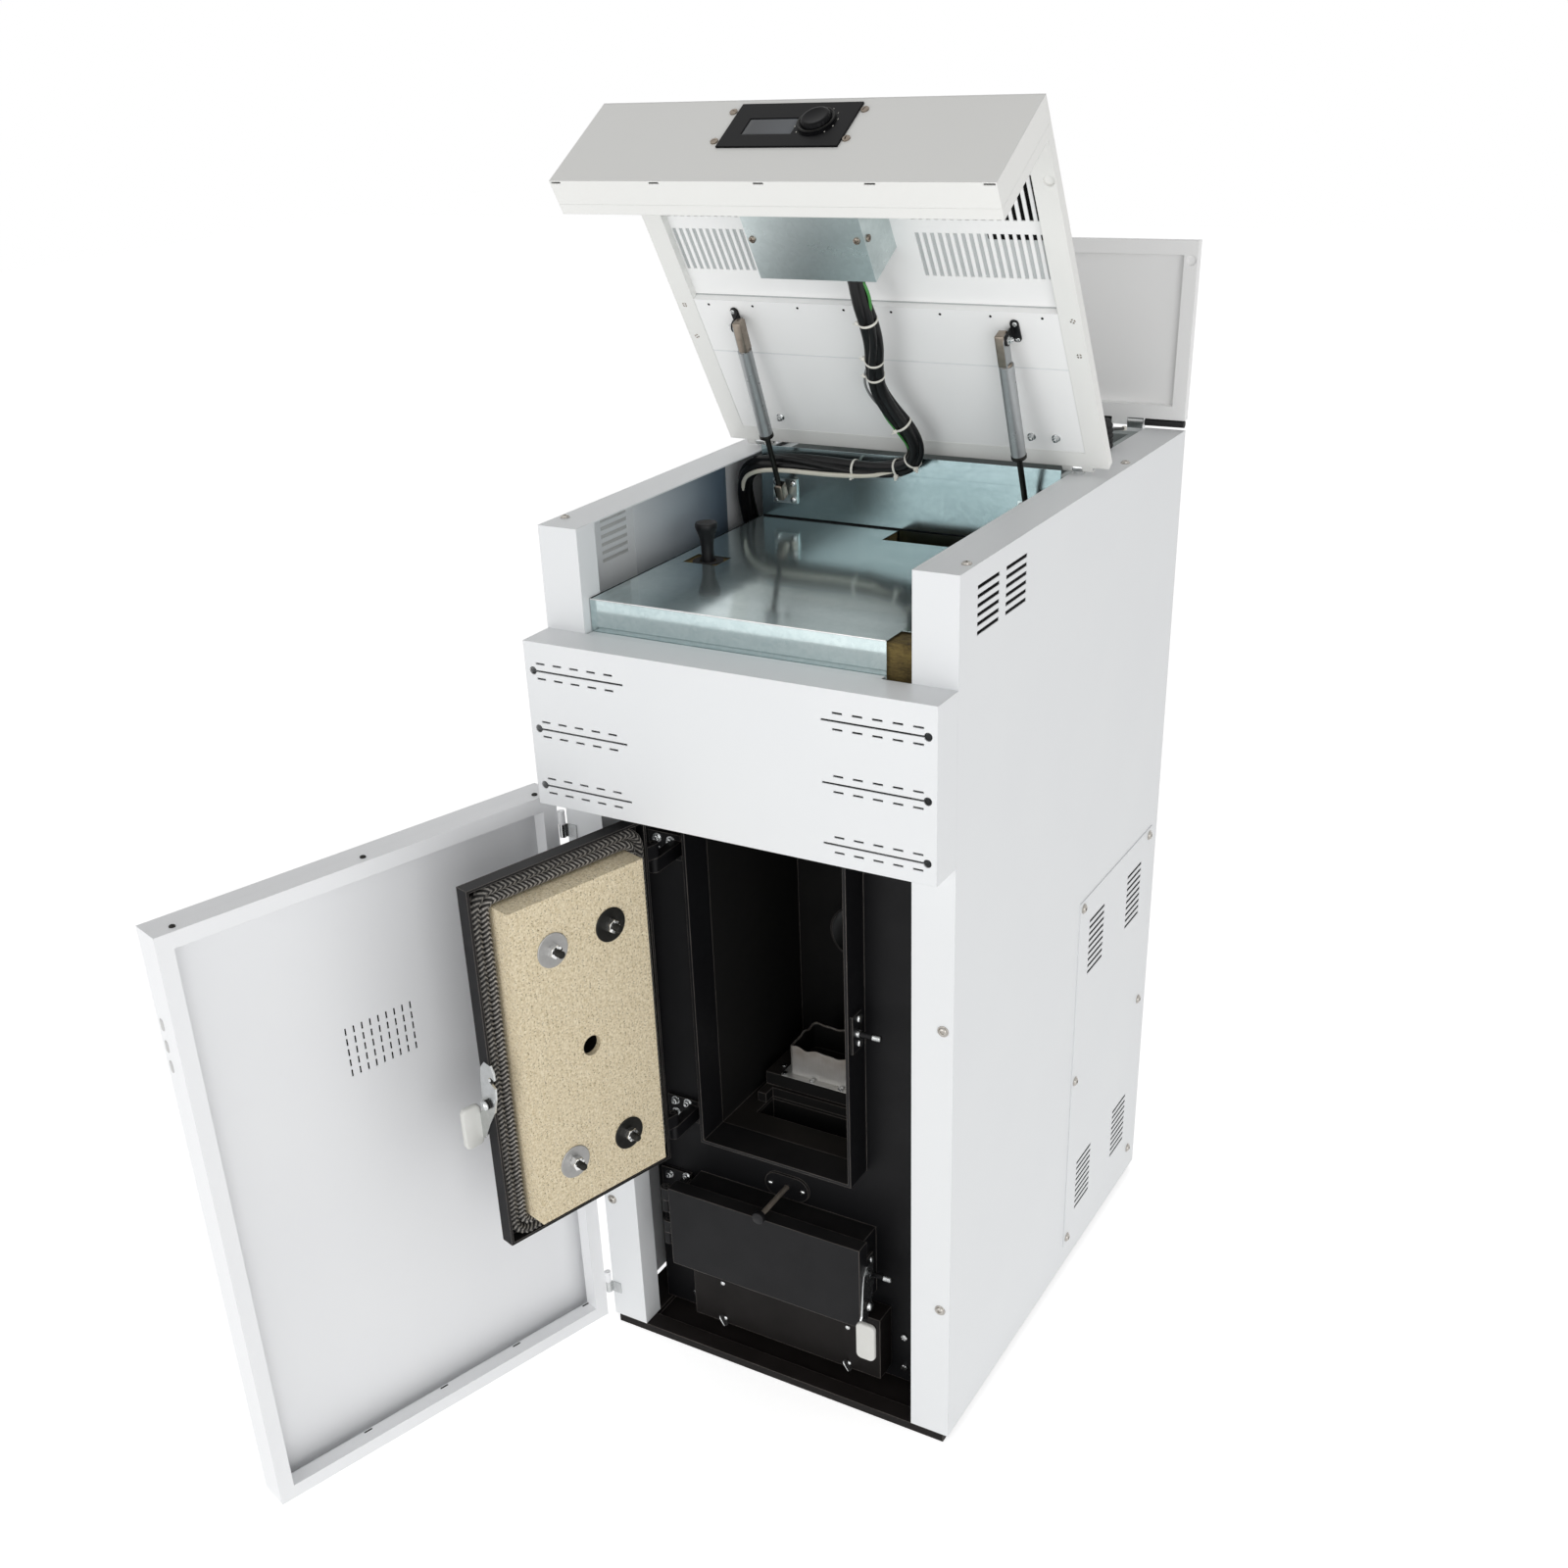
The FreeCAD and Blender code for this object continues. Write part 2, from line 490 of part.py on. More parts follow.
def water_jacket():
    """The sheet jacket round the firebox, shut at the front by the front plate."""
    outer = shell(("-jacket_half", "jacket_half"), ("plate_rear", "front + jacket_back"),
                  ("jacket_bottom", "boiler_top"), "jacket_wall", ("-y",))
    rear = ("front + jacket_back - 2 * jacket_wall", "front + jacket_back + jacket_wall")
    holes = [bar("y", "auger_radius + seat_gap", rear, ("0", "auger_height")),
             bar("y", "duct_radius - fan_wall", rear, ("0", "fan_height - duct_drop")),
             bar("z", "grip_rod_radius + bush_gap", ("boiler_top - 2 * jacket_wall",
                                                     "boiler_top + jacket_wall"),
                 ("-grip_x", "front + grip_y"))]
    for level in ("flow_height", "return_height"):
        holes.append(bar("y", "pipe_radius - pipe_wall", rear, ("-pipe_x", level)))
    return cut(outer, *holes)


def exchanger_tubes():
    span = ("tube_bottom", "boiler_top - jacket_wall")
    places = [f"{sign} * {x}" for sign in (-1, 1) for x in ("tube_inner_x", "tube_outer_x")]
    return group(*[tube("z", "tube_radius", "tube_wall", span, (x, "front + tube_setback")) for x in places])


def boiler():
    node("boiler_front", boiler_front())
    node("firebox", chamber_box())
    node("ash_box", ash_box())
    node("water_jacket", water_jacket())
    node("exchanger_tubes", exchanger_tubes())
    node("ash_cover_plate", shell(("-clean_half", "clean_half"), ("front + clean_face", "plate"),
                                  ("clean_bottom", "clean_top"), "clean_wall", ("+y",)))


def burner():
    """The burner's stepped base on the chamber floor, and the sheet pot that holds the fire."""
    floor = "rim_bottom + rim_wall"
    base = fuse(box(("-burner_half", "burner_half"), ("front + burner_front", "front + burner_rear"),
                    (floor, f"{floor} + burner_rise")),
                box(("-burner_half", "burner_half"), ("front + burner_front - step_depth",
                                                      "front + burner_front"),
                    (floor, f"{floor} + step_rise")))
    node("burner_base", cut(base, box(*FALL_INSIDE, ("rim_bottom", f"{floor} + burner_rise"))))
    deck = f"{floor} + burner_rise"
    node("burner_pot", shell(("-pot_half", "pot_half"), ("front + pot_front",
                                                         "front + pot_front + pot_depth"),
                             (deck, f"{deck} + pot_height"), "pot_wall", ("+z",)))


def top_well():
    """The zinc exchanger cover on its wool, and the zinc bulkhead behind it."""
    under = "cover_top - cover_sheet"
    face = "front + cover_face"
    skirt = "cover_top - cover_skirt"
    notch = box(("notch_left", "cover_edge + wool_gap"), (f"{face} - wool_gap", f"{face} + notch_depth"),
                (f"{skirt} - wool_gap", "cover_top + wool_gap"))
    pit_x, pit_y = ("-pit_left", "pit_right"), ("front + pit_front", "bulkhead")
    grip_slot = box(("-grip_slot_left", "-grip_slot_left + grip_slot_width"),
                    ("front + grip_slot_front", "front + grip_slot_front + grip_slot_depth"),
                    (f"{under} - wool_gap", "cover_top + wool_gap"))
    pan = shell(("-cover_edge", "cover_edge"), (face, "bulkhead"), (skirt, "cover_top"),
                "cover_sheet", ("-z", "+y"))
    node("exchanger_cover", cut(pan, notch, grip_slot,
                                box(pit_x, pit_y, (f"{under} - wool_gap", "cover_top + wool_gap"))))
    wool_x = "cover_edge - cover_sheet - wool_gap"
    wool = box((f"-({wool_x})", wool_x), ("front + wool_face", "bulkhead - wool_gap"), ("boiler_top", under))
    around = bar("z", "grip_neck_radius + 2 * wool_gap", ("boiler_top - wool_gap", "cover_top"),
                 ("-grip_x", "front + grip_y"))
    node("mineral_wool", cut(wool, around, box(pit_x, pit_y, ("boiler_top - wool_gap", "cover_top"))))
    sheet_x = ("-bulkhead_left", "cover_edge")
    node("bulkhead", fuse(box(sheet_x, ("bulkhead", "bulkhead + bulkhead_sheet"),
                              ("bulkhead_bottom", "bulkhead_top")),
                          box(sheet_x, ("bulkhead", "bulkhead + bulkhead_fold"),
                              ("bulkhead_top - bulkhead_sheet", "bulkhead_top"))))


def cleaning_grip():
    """The flared grip on a rod that lifts the turbulators in the exchanger tubes."""
    at = ("-grip_x", "front + grip_y")
    head = doc.addObject("Part::Cone", "head")
    bind(head, "Radius1", "grip_neck_radius")
    bind(head, "Radius2", "grip_head_radius")
    bind(head, "Height", "grip_height / 2")
    for name, place in zip("xyz", at + ("cover_top + grip_height / 2",)):
        bind(head, f"Placement.Base.{name}", place)
    node("cleaning_grip", fuse(
        bar("z", "grip_rod_radius", ("boiler_top - grip_rod_drop - grip_travel", "cover_top"), at),
        bar("z", "grip_neck_radius", ("cover_top - cover_skirt / 2", "cover_top + grip_height / 2"),
            at), head))


def funnel(grow):
    """The hopper's tapering lower part, as a solid shrunk inwards by a wall."""
    taper = doc.addObject("Part::Wedge", "taper")
    taper.Placement = FreeCAD.Placement(Vector(), Rotation(Vector(1, 0, 0), -90))
    bind(taper, "Placement.Base.y", "front")
    bind(taper, "Placement.Base.z", "hopper_waist")
    spans = {"Xmin": f"-hopper_half + {grow}", "Xmax": f"hopper_half - {grow}",
             "Zmin": f"hopper_front + {grow}", "Zmax": f"hopper_rear - {grow}",
             "X2min": f"-throat_half - hopper_sheet + {grow}", "X2max": f"throat_half + hopper_sheet - {grow}",
             "Z2min": f"throat_front - hopper_sheet + {grow}", "Z2max": f"throat_rear + hopper_sheet - {grow}",
             "Ymin": "0", "Ymax": "hopper_waist - hopper_throat"}
    for name, place in spans.items():
        bind(taper, name, place)
    return taper


def hopper():
    top = "bulkhead_top + bulkhead_sheet"
    walls_x, walls_y = ("-hopper_half", "hopper_half"), ("front + hopper_front", "front + hopper_rear")
    inside_x = ("-hopper_half + hopper_sheet", "hopper_half - hopper_sheet")
    inside_y = ("front + hopper_front + hopper_sheet", "front + hopper_rear - hopper_sheet")
    rim = box(("-cover_edge", "cover_edge"), ("bulkhead", "back - sheet_gauge"), ("bulkhead_top", top))
    outer = fuse(box(walls_x, walls_y, ("hopper_waist", "bulkhead_top")), rim, funnel("0"))
    hollow = fuse(box(inside_x, inside_y, ("hopper_waist", top)), funnel("hopper_sheet"))
    node("hopper", cut(outer, hollow))


def auger():
    """The feed auger below the hopper: trough tube, screw and gearmotor on one line."""
    at = ("0", "auger_height")
    mouth_x = ("-throat_half - hopper_sheet", "throat_half + hopper_sheet")
    mouth_y = ("front + throat_front - hopper_sheet", "front + throat_rear + hopper_sheet")
    collar = box(mouth_x, mouth_y, ("auger_height", "hopper_throat"))
    throat = box(("-throat_half", "throat_half"), ("front + throat_front", "front + throat_rear"),
                 ("auger_height", "hopper_throat"))
    span = ("front + auger_mouth", "front + auger_end")
    bore = bar("y", "auger_radius - auger_wall", span, at)
    node("auger_tube", cut(fuse(bar("y", "auger_radius", span, at), collar), fuse(throat, bore)))

    end = "front + auger_end"
    gearbox = box(("-gearbox_half", "gearbox_half"), (end, f"{end} + gearbox_length"),
                  ("auger_height - gearbox_half", "auger_height + gearbox_half"))
    motor_end = f"{end} + gearbox_length + gearmotor_length"
    motor = bar("y", "gearmotor_radius", (f"{end} + gearbox_length", motor_end), at)
    node("auger_gearmotor", cut(fuse(gearbox, motor),
                                bar("y", "screw_core + bush_gap", (end, f"{end} + shaft_depth"), at)))

    core = bar("y", "screw_core", ("front + flight_start - flight_thick", f"{end} + shaft_depth - seat_gap"),
               at)
    line = doc.addObject("Part::Helix", "flight_line")
    line.Placement = FreeCAD.Placement(Vector(), AXIS_TURN["y"])
    bind(line, "Pitch", "screw_pitch")
    bind(line, "Height", "screw_pitch * flight_turns")
    bind(line, "Radius", "screw_core")
    bind(line, "Placement.Base.y", "front + flight_start")
    bind(line, "Placement.Base.z", "auger_height")
    section = doc.addObject("Part::Plane", "flight_section")
    bind(section, "Length", "screw_radius - screw_core + flight_thick / 2")
    bind(section, "Width", "flight_thick")
    section.Placement = FreeCAD.Placement(Vector(), AXIS_TURN["y"].multiply(Rotation(Vector(1, 0, 0), 90)))
    bind(section, "Placement.Base.x", "screw_core - flight_thick / 2")
    bind(section, "Placement.Base.y", "front + flight_start - flight_thick / 2")
    bind(section, "Placement.Base.z", "auger_height")
    flight = doc.addObject("Part::Sweep", "flight")
    flight.Sections = [section]
    flight.Spine = (line, [])
    flight.Solid = True
    flight.Frenet = True
    node("auger_screw", fuse(core, flight))


BLADES = 8


def exhaust():
    """The flue gas fan behind the boiler: housing, motor, impeller and flue spigot."""
    at = ("0", "fan_height")
    faces = ("front + fan_front", "front + fan_rear")
    drum = bar("y", "fan_radius", faces, at)
    duct_at = ("0", "fan_height - duct_drop")
    duct = bar("y", "duct_radius", ("front + jacket_back", "front + fan_front"), duct_at)
    hollow = bar("y", "fan_radius - fan_wall", ("front + fan_front + fan_wall",
                                                "front + fan_rear - fan_wall"), at)
    duct_bore = bar("y", "duct_radius - fan_wall", ("front + jacket_back", "front + fan_front + fan_wall"),
                    duct_at)
    outlet_at = ("0", "fan_height + flue_rise")
    outlet = bar("y", "flue_radius - flue_wall", ("front + fan_rear - fan_wall", "front + fan_rear"),
                 outlet_at)
    shaft_hole = bar("y", "fan_shaft_radius + seat_gap", ("front + fan_front",
                                                          "front + fan_front + fan_wall"), at)
    node("fan_housing", cut(fuse(drum, duct), fuse(hollow, duct_bore, outlet, shaft_hole)))

    motor_span = ("front + fan_front - fan_motor_length", "front + fan_front")
    motor = bar("y", "fan_motor_radius", motor_span, at)
    bore = bar("y", "fan_shaft_radius + bush_gap", ("front + fan_front - shaft_depth", "front + fan_front"),
               at)
    node("fan_motor", cut(motor, bore))

    disc = "front + fan_front + fan_wall + blade_length"
    disc_y = (disc, f"{disc} + impeller_disc")
    wheel = [bar("y", "fan_shaft_radius", ("front + fan_front - shaft_depth + seat_gap", disc_y[1]), at),
             bar("y", "impeller_radius", disc_y, at)]
    for turn in range(BLADES):
        blade = box(("0", "blade_gauge"), (f"{disc_y[0]} - blade_length / 2", disc_y[0]),
                    ("fan_height + impeller_radius - blade_height",
                     "fan_height + impeller_radius - blade_gauge"))
        spoke = group(blade)
        angle = 360 / BLADES * turn
        spoke.Placement = FreeCAD.Placement(Vector(), Rotation(Vector(0, 1, 0), angle))
        bind(spoke, "Placement.Base.x", f"-fan_height * sin({angle}deg)")
        bind(spoke, "Placement.Base.z", f"fan_height - fan_height * cos({angle}deg)")
        wheel.append(spoke)
    node("fan_impeller", fuse(*wheel))
    flue = ("front + fan_rear", "back + flue_reach")
    collar = bar("y", "flue_radius + flue_collar", ("back", "back + flue_collar_thick"), outlet_at)
    node("flue_spigot", cut(fuse(bar("y", "flue_radius", flue, outlet_at), collar),
                            bar("y", "flue_radius - flue_wall", flue, outlet_at)))


def connections():
    """Flow and return pipes out of the rear, and the gland for the mains lead."""
    span = ("front + jacket_back", "back + pipe_reach")
    pipes = []
    for level in ("flow_height", "return_height"):
        spot = ("-pipe_x", level)
        collar = bar("y", "pipe_radius + pipe_collar", ("back", "back + pipe_collar_length"), spot)
        pipes.append(cut(fuse(bar("y", "pipe_radius", span, spot), collar),
                         bar("y", "pipe_radius - pipe_wall", span, spot)))
    node("water_pipes", group(*pipes))
    at = ("gland_x", "gland_height")
    body = fuse(bar("y", "gland_radius", ("back - gland_tail", "back + gland_reach"), at),
                bar("y", "gland_nut", ("back", "back + gland_nut_length"), at))
    node("cable_gland", cut(body, bar("y", "gland_bore", ("back - gland_tail", "back + gland_reach"), at)))


FRONT_DOOR = hinge("z", ("-half - door_hinge_out", "front - door_hinge_proud"), "-door_open")
CHAMBER_DOOR = hinge("z", ("-chamber_hinge_x", "front + chamber_hinge_y"), "-chamber_open")
FRONT_LID = hinge("x", ("front + lid_hinge_y", "lid_hinge_z"), "-lid_open")
HOPPER_LID = hinge("x", ("back + hopper_hinge_out", "hopper_hinge_z"), "-hopper_open")


def door_channel(x, y, z):
    """A frame of channel section, open towards the skin."""
    outer, inside, lip, land = [], [], [], []
    for low, high in (x, z):
        outer.append((low, high))
        inside.append((f"{low} + door_frame_width", f"{high} - door_frame_width"))
        lip.append((f"{low} + door_gauge", f"{high} - door_gauge"))
        land.append((f"{low} + door_frame_width - door_gauge", f"{high} - door_frame_width + door_gauge"))
    shallow = (y[0], f"{y[1]} - door_gauge")
    frame = cut(box(outer[0], y, outer[1]), box(inside[0], y, inside[1]))
    return cut(frame, cut(box(lip[0], shallow, lip[1]), box(land[0], shallow, land[1])))


def front_door():
    """The white outer door: folded skin with a slit grille, and the frame riveted behind it."""
    skin_rear = "door_face + door_skin_depth"
    rear = "door_face + door_depth"
    across, tall = ("-half", "half"), ("door_bottom", "door_top")
    skin = shell(across, ("door_face", skin_rear), tall, "door_gauge", ("+y",))
    slits = []
    for column in range(-4, 5):
        middle = f"{column} * grille_columns_pitch"
        for row in range(-2, 3):
            level = f"grille_middle + {row} * grille_row_pitch"
            slits.append(box((f"{middle} - grille_slit_width / 2", f"{middle} + grille_slit_width / 2"),
                             ("door_face - door_gauge", "door_face + 2 * door_gauge"),
                             (f"{level} - grille_slit / 2", f"{level} + grille_slit / 2")))
    node("front_door_skin", cut(skin, *slits), FRONT_DOOR)
    ring = door_channel(across, (skin_rear, rear), tall)
    at = FRONT_DOOR[1]
    knuckles, bores, posts = [], [], []
    for low in ("door_hinge_low", "door_hinge_high"):
        upper = (f"{low} + door_knuckle_length + seat_gap", f"{low} + 2 * door_knuckle_length")
        leaf = box(("-half - door_hinge_out", "-half"), (f"{rear} - door_leaf_gauge", rear), upper)
        knuckles += [bar("z", "door_knuckle", upper, at), leaf]
        bores.append(bar("z", "door_pin + bush_gap", upper, at))
        lower = (low, f"{low} + door_knuckle_length")
        plate = box(("-half - door_hinge_out", "-half + door_leaf"), ("front - door_leaf_gauge", "front"),
                    lower)
        pin = bar("z", "door_pin", (low, f"{low} + 2 * door_knuckle_length"), at)
        posts.append(fuse(bar("z", "door_knuckle", lower, at), plate, pin))
    node("front_door_frame", cut(fuse(ring, *knuckles), *bores), FRONT_DOOR)
    node("front_door_hinges", group(*posts))


def chamber_door():
    """The black chamber door: pan, rope seal, fire board on studs, and hinge lugs."""
    face, rim = "front + chamber_face", "front + chamber_face + chamber_pan"
    floor = "front + chamber_face + chamber_floor"
    pan = shell(("-chamber_half", "chamber_half"), (face, rim), ("chamber_bottom", "chamber_top"),
                "chamber_wall", ("+y",))
    at = CHAMBER_DOOR[1]
    lugs, bores = [], []
    for low in ("hinge_low", "hinge_high"):
        level = (f"{low} + lug_height + seat_gap", f"{low} + 2 * lug_height")
        lugs += [bar("z", "lug_radius", level, at),
                 box(("-chamber_hinge_x", "-chamber_half"),
                     ("front + chamber_hinge_y - lug_radius", "front + chamber_hinge_y + lug_radius"), level)]
        bores.append(bar("z", "hinge_pin + bush_gap", level, at))
    pivot_at = ("front + latch_pin_y - pivot_back", "chamber_pin_z - pivot_drop")
    node("chamber_door_pan", cut(fuse(pan, *lugs, *pivot_stud("chamber_half", pivot_at)), *bores),
         CHAMBER_DOOR)

    wall = "(chamber_wall + seat_gap)"
    rope_x, rope_z = f"chamber_half - {wall}", f"(chamber_top - chamber_bottom) / 2 - {wall}"
    rope_y = (floor, f"{rim} + rope_proud")
    outer = box((f"-({rope_x})", rope_x), rope_y, (f"chamber_mid - ({rope_z})", f"chamber_mid + ({rope_z})"))
    inside = box((f"-({rope_x} - rope_width)", f"{rope_x} - rope_width"), rope_y,
                 (f"chamber_mid - ({rope_z} - rope_width)", f"chamber_mid + ({rope_z} - rope_width)"))
    node("chamber_door_rope", cut(outer, inside), CHAMBER_DOOR)

    deep = (floor, "front + board_front")
    board = box(("-board_half", "board_half"), deep,
                ("chamber_mid - board_height / 2", "chamber_mid + board_height / 2"))
    holes = [bar("y", "sight_radius", ("front + board_front - sight_depth", "front + board_front"),
                 ("0", "chamber_mid"))]
    fixings = []
    for sx in (-1, 1):
        for sz in (-1, 1):
            spot = (f"{sx} * fixing_x", f"chamber_mid + {sz} * fixing_z")
            holes.append(bar("y", "stud_radius + seat_gap", deep, spot))
            fixings += board_fixing(floor, spot)
    node("chamber_door_board", cut(board, *holes), CHAMBER_DOOR)
    node("board_fixings", group(*fixings), CHAMBER_DOOR)


def board_fixing(floor, spot):
    """One stud with its nut, and the big washer that it holds against the board."""
    rest = "front + board_front"
    washer = cut(bar("y", "washer_radius", (rest, f"{rest} + washer_thick"), spot),
                 bar("y", "stud_radius + bush_gap", (rest, f"{rest} + washer_thick"), spot))
    nut = doc.addObject("Part::Prism", "nut")
    nut.Polygon = 6
    nut.Placement = FreeCAD.Placement(Vector(), AXIS_TURN["y"])
    bind(nut, "Circumradius", "nut_across")
    bind(nut, "Height", "nut_height")
    for name, place in zip("xyz", (spot[0], f"{rest} + washer_thick", spot[1])):
        bind(nut, f"Placement.Base.{name}", place)
    stud = bar("y", "stud_radius", (floor, "front + stud_reach"), spot)
    return [washer, fuse(stud, nut)]


def pivot_stud(edge, at):
    """The shouldered stud on a door's free edge that a latch turns on."""
    head = f"{edge} + latch_gap + latch_gauge + seat_gap"
    return [bar("x", "pivot_radius", (f"{edge} - chamber_wall / 2", f"{head} + pivot_head_thick"), at),
            bar("x", "pivot_head", (head, f"{head} + pivot_head_thick"), at)]


LATCH_OUTLINE = [(-53, -60), (-44, -48), (-42, -20), (-40, 4), (-37, 22), (-27, 34), (-13, 33), (-7, 24),
                 (-7, 11.5), (-14, 14.2), (-19.5, 12), (-20.6, 8.7), (-19.5, 5), (-14.5, 3.2), (-7, -1),
                 (-9, -20), (-16, -44), (-32, -70), (-46, -98), (-53, -100)]


def latch(name, edge, pin_z, turned):
    """A hook plate on the door's free edge with its grip pad; the outline is taken from the pin it catches."""
    plate_x = (f"{edge} + latch_gap", f"{edge} + latch_gap + latch_gauge")
    pin_y = number("front + latch_pin_y")
    points = [(pin_y + y, number(pin_z) + z) for y, z in LATCH_OUTLINE]
    blank = set_shape(f"{name}_blank", profile(points, *plate_x))
    pivot = bar("x", "pivot_radius + bush_gap", plate_x,
                ("front + latch_pin_y - pivot_back", f"{pin_z} - pivot_drop"))
    node(name, cut(blank, pivot), turned)
    pad_y = ("front + latch_pin_y - pad_out - pad_thick", "front + latch_pin_y - pad_out")
    node(f"{name}_pad", box((plate_x[0], f"{plate_x[0]} + pad_width"), pad_y,
                            (f"{pin_z} - pad_drop - pad_height", f"{pin_z} - pad_drop")), turned)


def striker(face, pin_z):
    """A bracket on the side of a neck with the pin that a latch hooks over."""
    plate = box((face, f"{face} + striker_gauge"),
                ("front + striker_front", "front + striker_front + striker_depth"),
                (f"{pin_z} - striker_height / 2", f"{pin_z} + striker_height / 2"))
    return fuse(plate, bar("x", "latch_pin", (face, f"{face} + striker_gauge + latch_pin_reach"),
                           ("front + latch_pin_y", pin_z)))


def door_bracket(hinge_x, hinge_y, low):
    """A foot on the boiler plate with an arm out to one hinge pin."""
    level = (low, f"{low} + lug_height")
    at = (f"-({hinge_x})", f"front + {hinge_y}")
    foot = box((f"-({hinge_x}) - hinge_foot + lug_radius", f"-({hinge_x}) + lug_radius"),
               ("plate - hinge_foot_gauge", "plate"),
               (f"{low} - hinge_foot_lap", f"{low} + lug_height + hinge_foot_lap"))
    arm = box((f"-({hinge_x}) - lug_radius", f"-({hinge_x}) + lug_radius"), (at[1], "plate"), level)
    return fuse(foot, arm, bar("z", "lug_radius", level, at),
                bar("z", "hinge_pin", (low, f"{low} + 2 * lug_height"), at))


def ash_door():
    face, rear = "front + ash_face", "front + ash_face + ash_depth"
    pan = shell(("-ash_left", "ash_right"), (face, rear), ("ash_bottom", "ash_top"), "ash_wall", ("+y",))
    at = ("-ash_left - ash_hinge_out", "front + ash_hinge_y")
    lugs, bores = [], []
    for low in ("ash_hinge_low", "ash_hinge_high"):
        level = (f"{low} + lug_height + seat_gap", f"{low} + 2 * lug_height")
        lugs += [bar("z", "lug_radius", level, at),
                 box((at[0], "-ash_left"),
                     ("front + ash_hinge_y - lug_radius", "front + ash_hinge_y + lug_radius"), level)]
        bores.append(bar("z", "hinge_pin + bush_gap", level, at))
    pivot_at = ("front + latch_pin_y - pivot_back", "ash_pin_z - pivot_drop")
    node("ash_door", cut(fuse(pan, *lugs, *pivot_stud("ash_right", pivot_at)), *bores))


def boiler_doors():
    chamber_door()
    latch("chamber_latch", "chamber_half", "chamber_pin_z", CHAMBER_DOOR)
    ash_door()
    latch("ash_latch", "ash_right", "ash_pin_z", None)
    node("latch_strikers", group(striker("rim_half", "chamber_pin_z"), striker("neck_right", "ash_pin_z")))
    brackets = [door_bracket("chamber_hinge_x", "chamber_hinge_y", low) for low in ("hinge_low",
                                                                                    "hinge_high")]
    brackets += [door_bracket("ash_left + ash_hinge_out", "ash_hinge_y", low)
                 for low in ("ash_hinge_low", "ash_hinge_high")]
    node("boiler_door_hinges", group(*brackets))
    at = ("-air_x", "air_z")
    knob = ("front - air_knob_front", "front - air_knob_front + air_knob_thick")
    node("air_rod", fuse(bar("y", "air_radius", (knob[0], "front + air_inner"), at),
                         bar("y", "air_knob_radius", knob, at)))


LID_VENTS = 17


def lid_shell():
    """The lid's top skin on side and rear rails, with a folded front that closes the fascia's back."""
    top = box(("-lid_half", "lid_half"), ("door_face", "front + lid_rear"),
              ("lid_high - lid_gauge", "lid_high"))
    back = "door_face + fascia_depth + fascia_back"
    fold = shell(("-lid_half", "lid_half"), ("door_face + fascia_depth", back),
                 ("panel_top + fascia_gap", "lid_high"), "lid_gauge", ())
    rails = [box(side(sign, "lid_half - lid_rail", "lid_half"), (back, "front + lid_rear"),
                 ("lid_low", "lid_high - lid_gauge")) for sign in (-1, 1)]
    rear = box(("-lid_half", "lid_half"), ("front + lid_rear - lid_rear_rail", "front + lid_rear"),
               ("lid_low", "lid_high - lid_gauge"))
    at = FRONT_LID[1]
    lugs, bores = [], []
    for sign in (-1, 1):
        for x in (f"lid_lug_x - lid_lug_width - seat_gap", f"lid_lug_x + lid_lug_width + seat_gap"):
            across = side(sign, f"{x} - lid_lug_width / 2", f"{x} + lid_lug_width / 2")
            lugs += [bar("x", "lid_lug_radius", across, at),
                     box(across, ("front + lid_rear", at[0]), ("lid_hinge_z - lid_lug_radius",
                                                               "lid_hinge_z + lid_lug_radius"))]
            bores.append(bar("x", "lid_pin + bush_gap", across, at))
    return cut(fuse(top, fold, rear, *rails, *lugs), *bores, *screw_pockets("corner_screw_y"))


def screw_pockets(y):
    """Room under a lid's side rails for the screw heads on the top flanges."""
    return [bar("z", "screw_head + screw_pocket", ("lid_low", "lid_low + screw_height"),
                (f"{sign} * corner_screw_x", f"front + {y}")) for sign in (-1, 1)]


def lid_fascia():
    """The fascia box in front of the lid, with vents for the controller along its lower edge."""
    pan = shell(("-lid_half", "lid_half"), ("door_face", "door_face + fascia_depth"),
                ("panel_top + fascia_gap", "lid_high - lid_gauge"), "lid_gauge", ("+y", "+z"))
    low = "panel_top + fascia_gap"
    cuts = []
    for place in range(-2, 3):
        middle = f"{place} * edge_slot_pitch"
        cuts.append(box((f"{middle} - edge_slot_length / 2", f"{middle} + edge_slot_length / 2"),
                        ("door_face + lid_gauge", "door_face + lid_gauge + edge_slot_height"),
                        (f"{low} - lid_gauge", f"{low} + 2 * lid_gauge")))
    stem = bar("y", "knob_shaft + bush_gap", ("door_face - lid_gauge", "door_face + 2 * lid_gauge"),
               ("knob_x", "knob_z"))
    return cut(pan, stem, *cuts)


def lid_inner_panel():
    """The lid's inner sheet: vented in front, a raised stiffener behind the step."""
    edge = "lid_half - lid_rail"
    across = (f"-({edge})", edge)
    back = "door_face + fascia_depth + fascia_back"
    rear = "front + lid_rear - lid_rear_rail"
    plate = box(across, (back, rear), ("lid_inside", "lid_inside + lid_inner_gauge"))
    raised = shell(across, ("front + lid_step_y", rear), ("lid_inside - lid_step_rise", "lid_inside"),
                   "lid_inner_gauge", ("+z",))
    holes = []
    for sign in (-1, 1):
        for index in range(LID_VENTS):
            start = f"lid_vent_left + {index} * lid_vent_pitch"
            for first, length in (("lid_vent_front", "lid_vent_length"),
                                  ("lid_vent_front_two", "lid_vent_length_two")):
                holes.append(box(side(sign, start, f"{start} + lid_vent_width"),
                                 (f"front + {first}", f"front + {first} + {length}"),
                                 ("lid_inside - lid_inner_gauge", "lid_inside + 2 * lid_inner_gauge")))
    return cut(fuse(plate, raised), *holes)


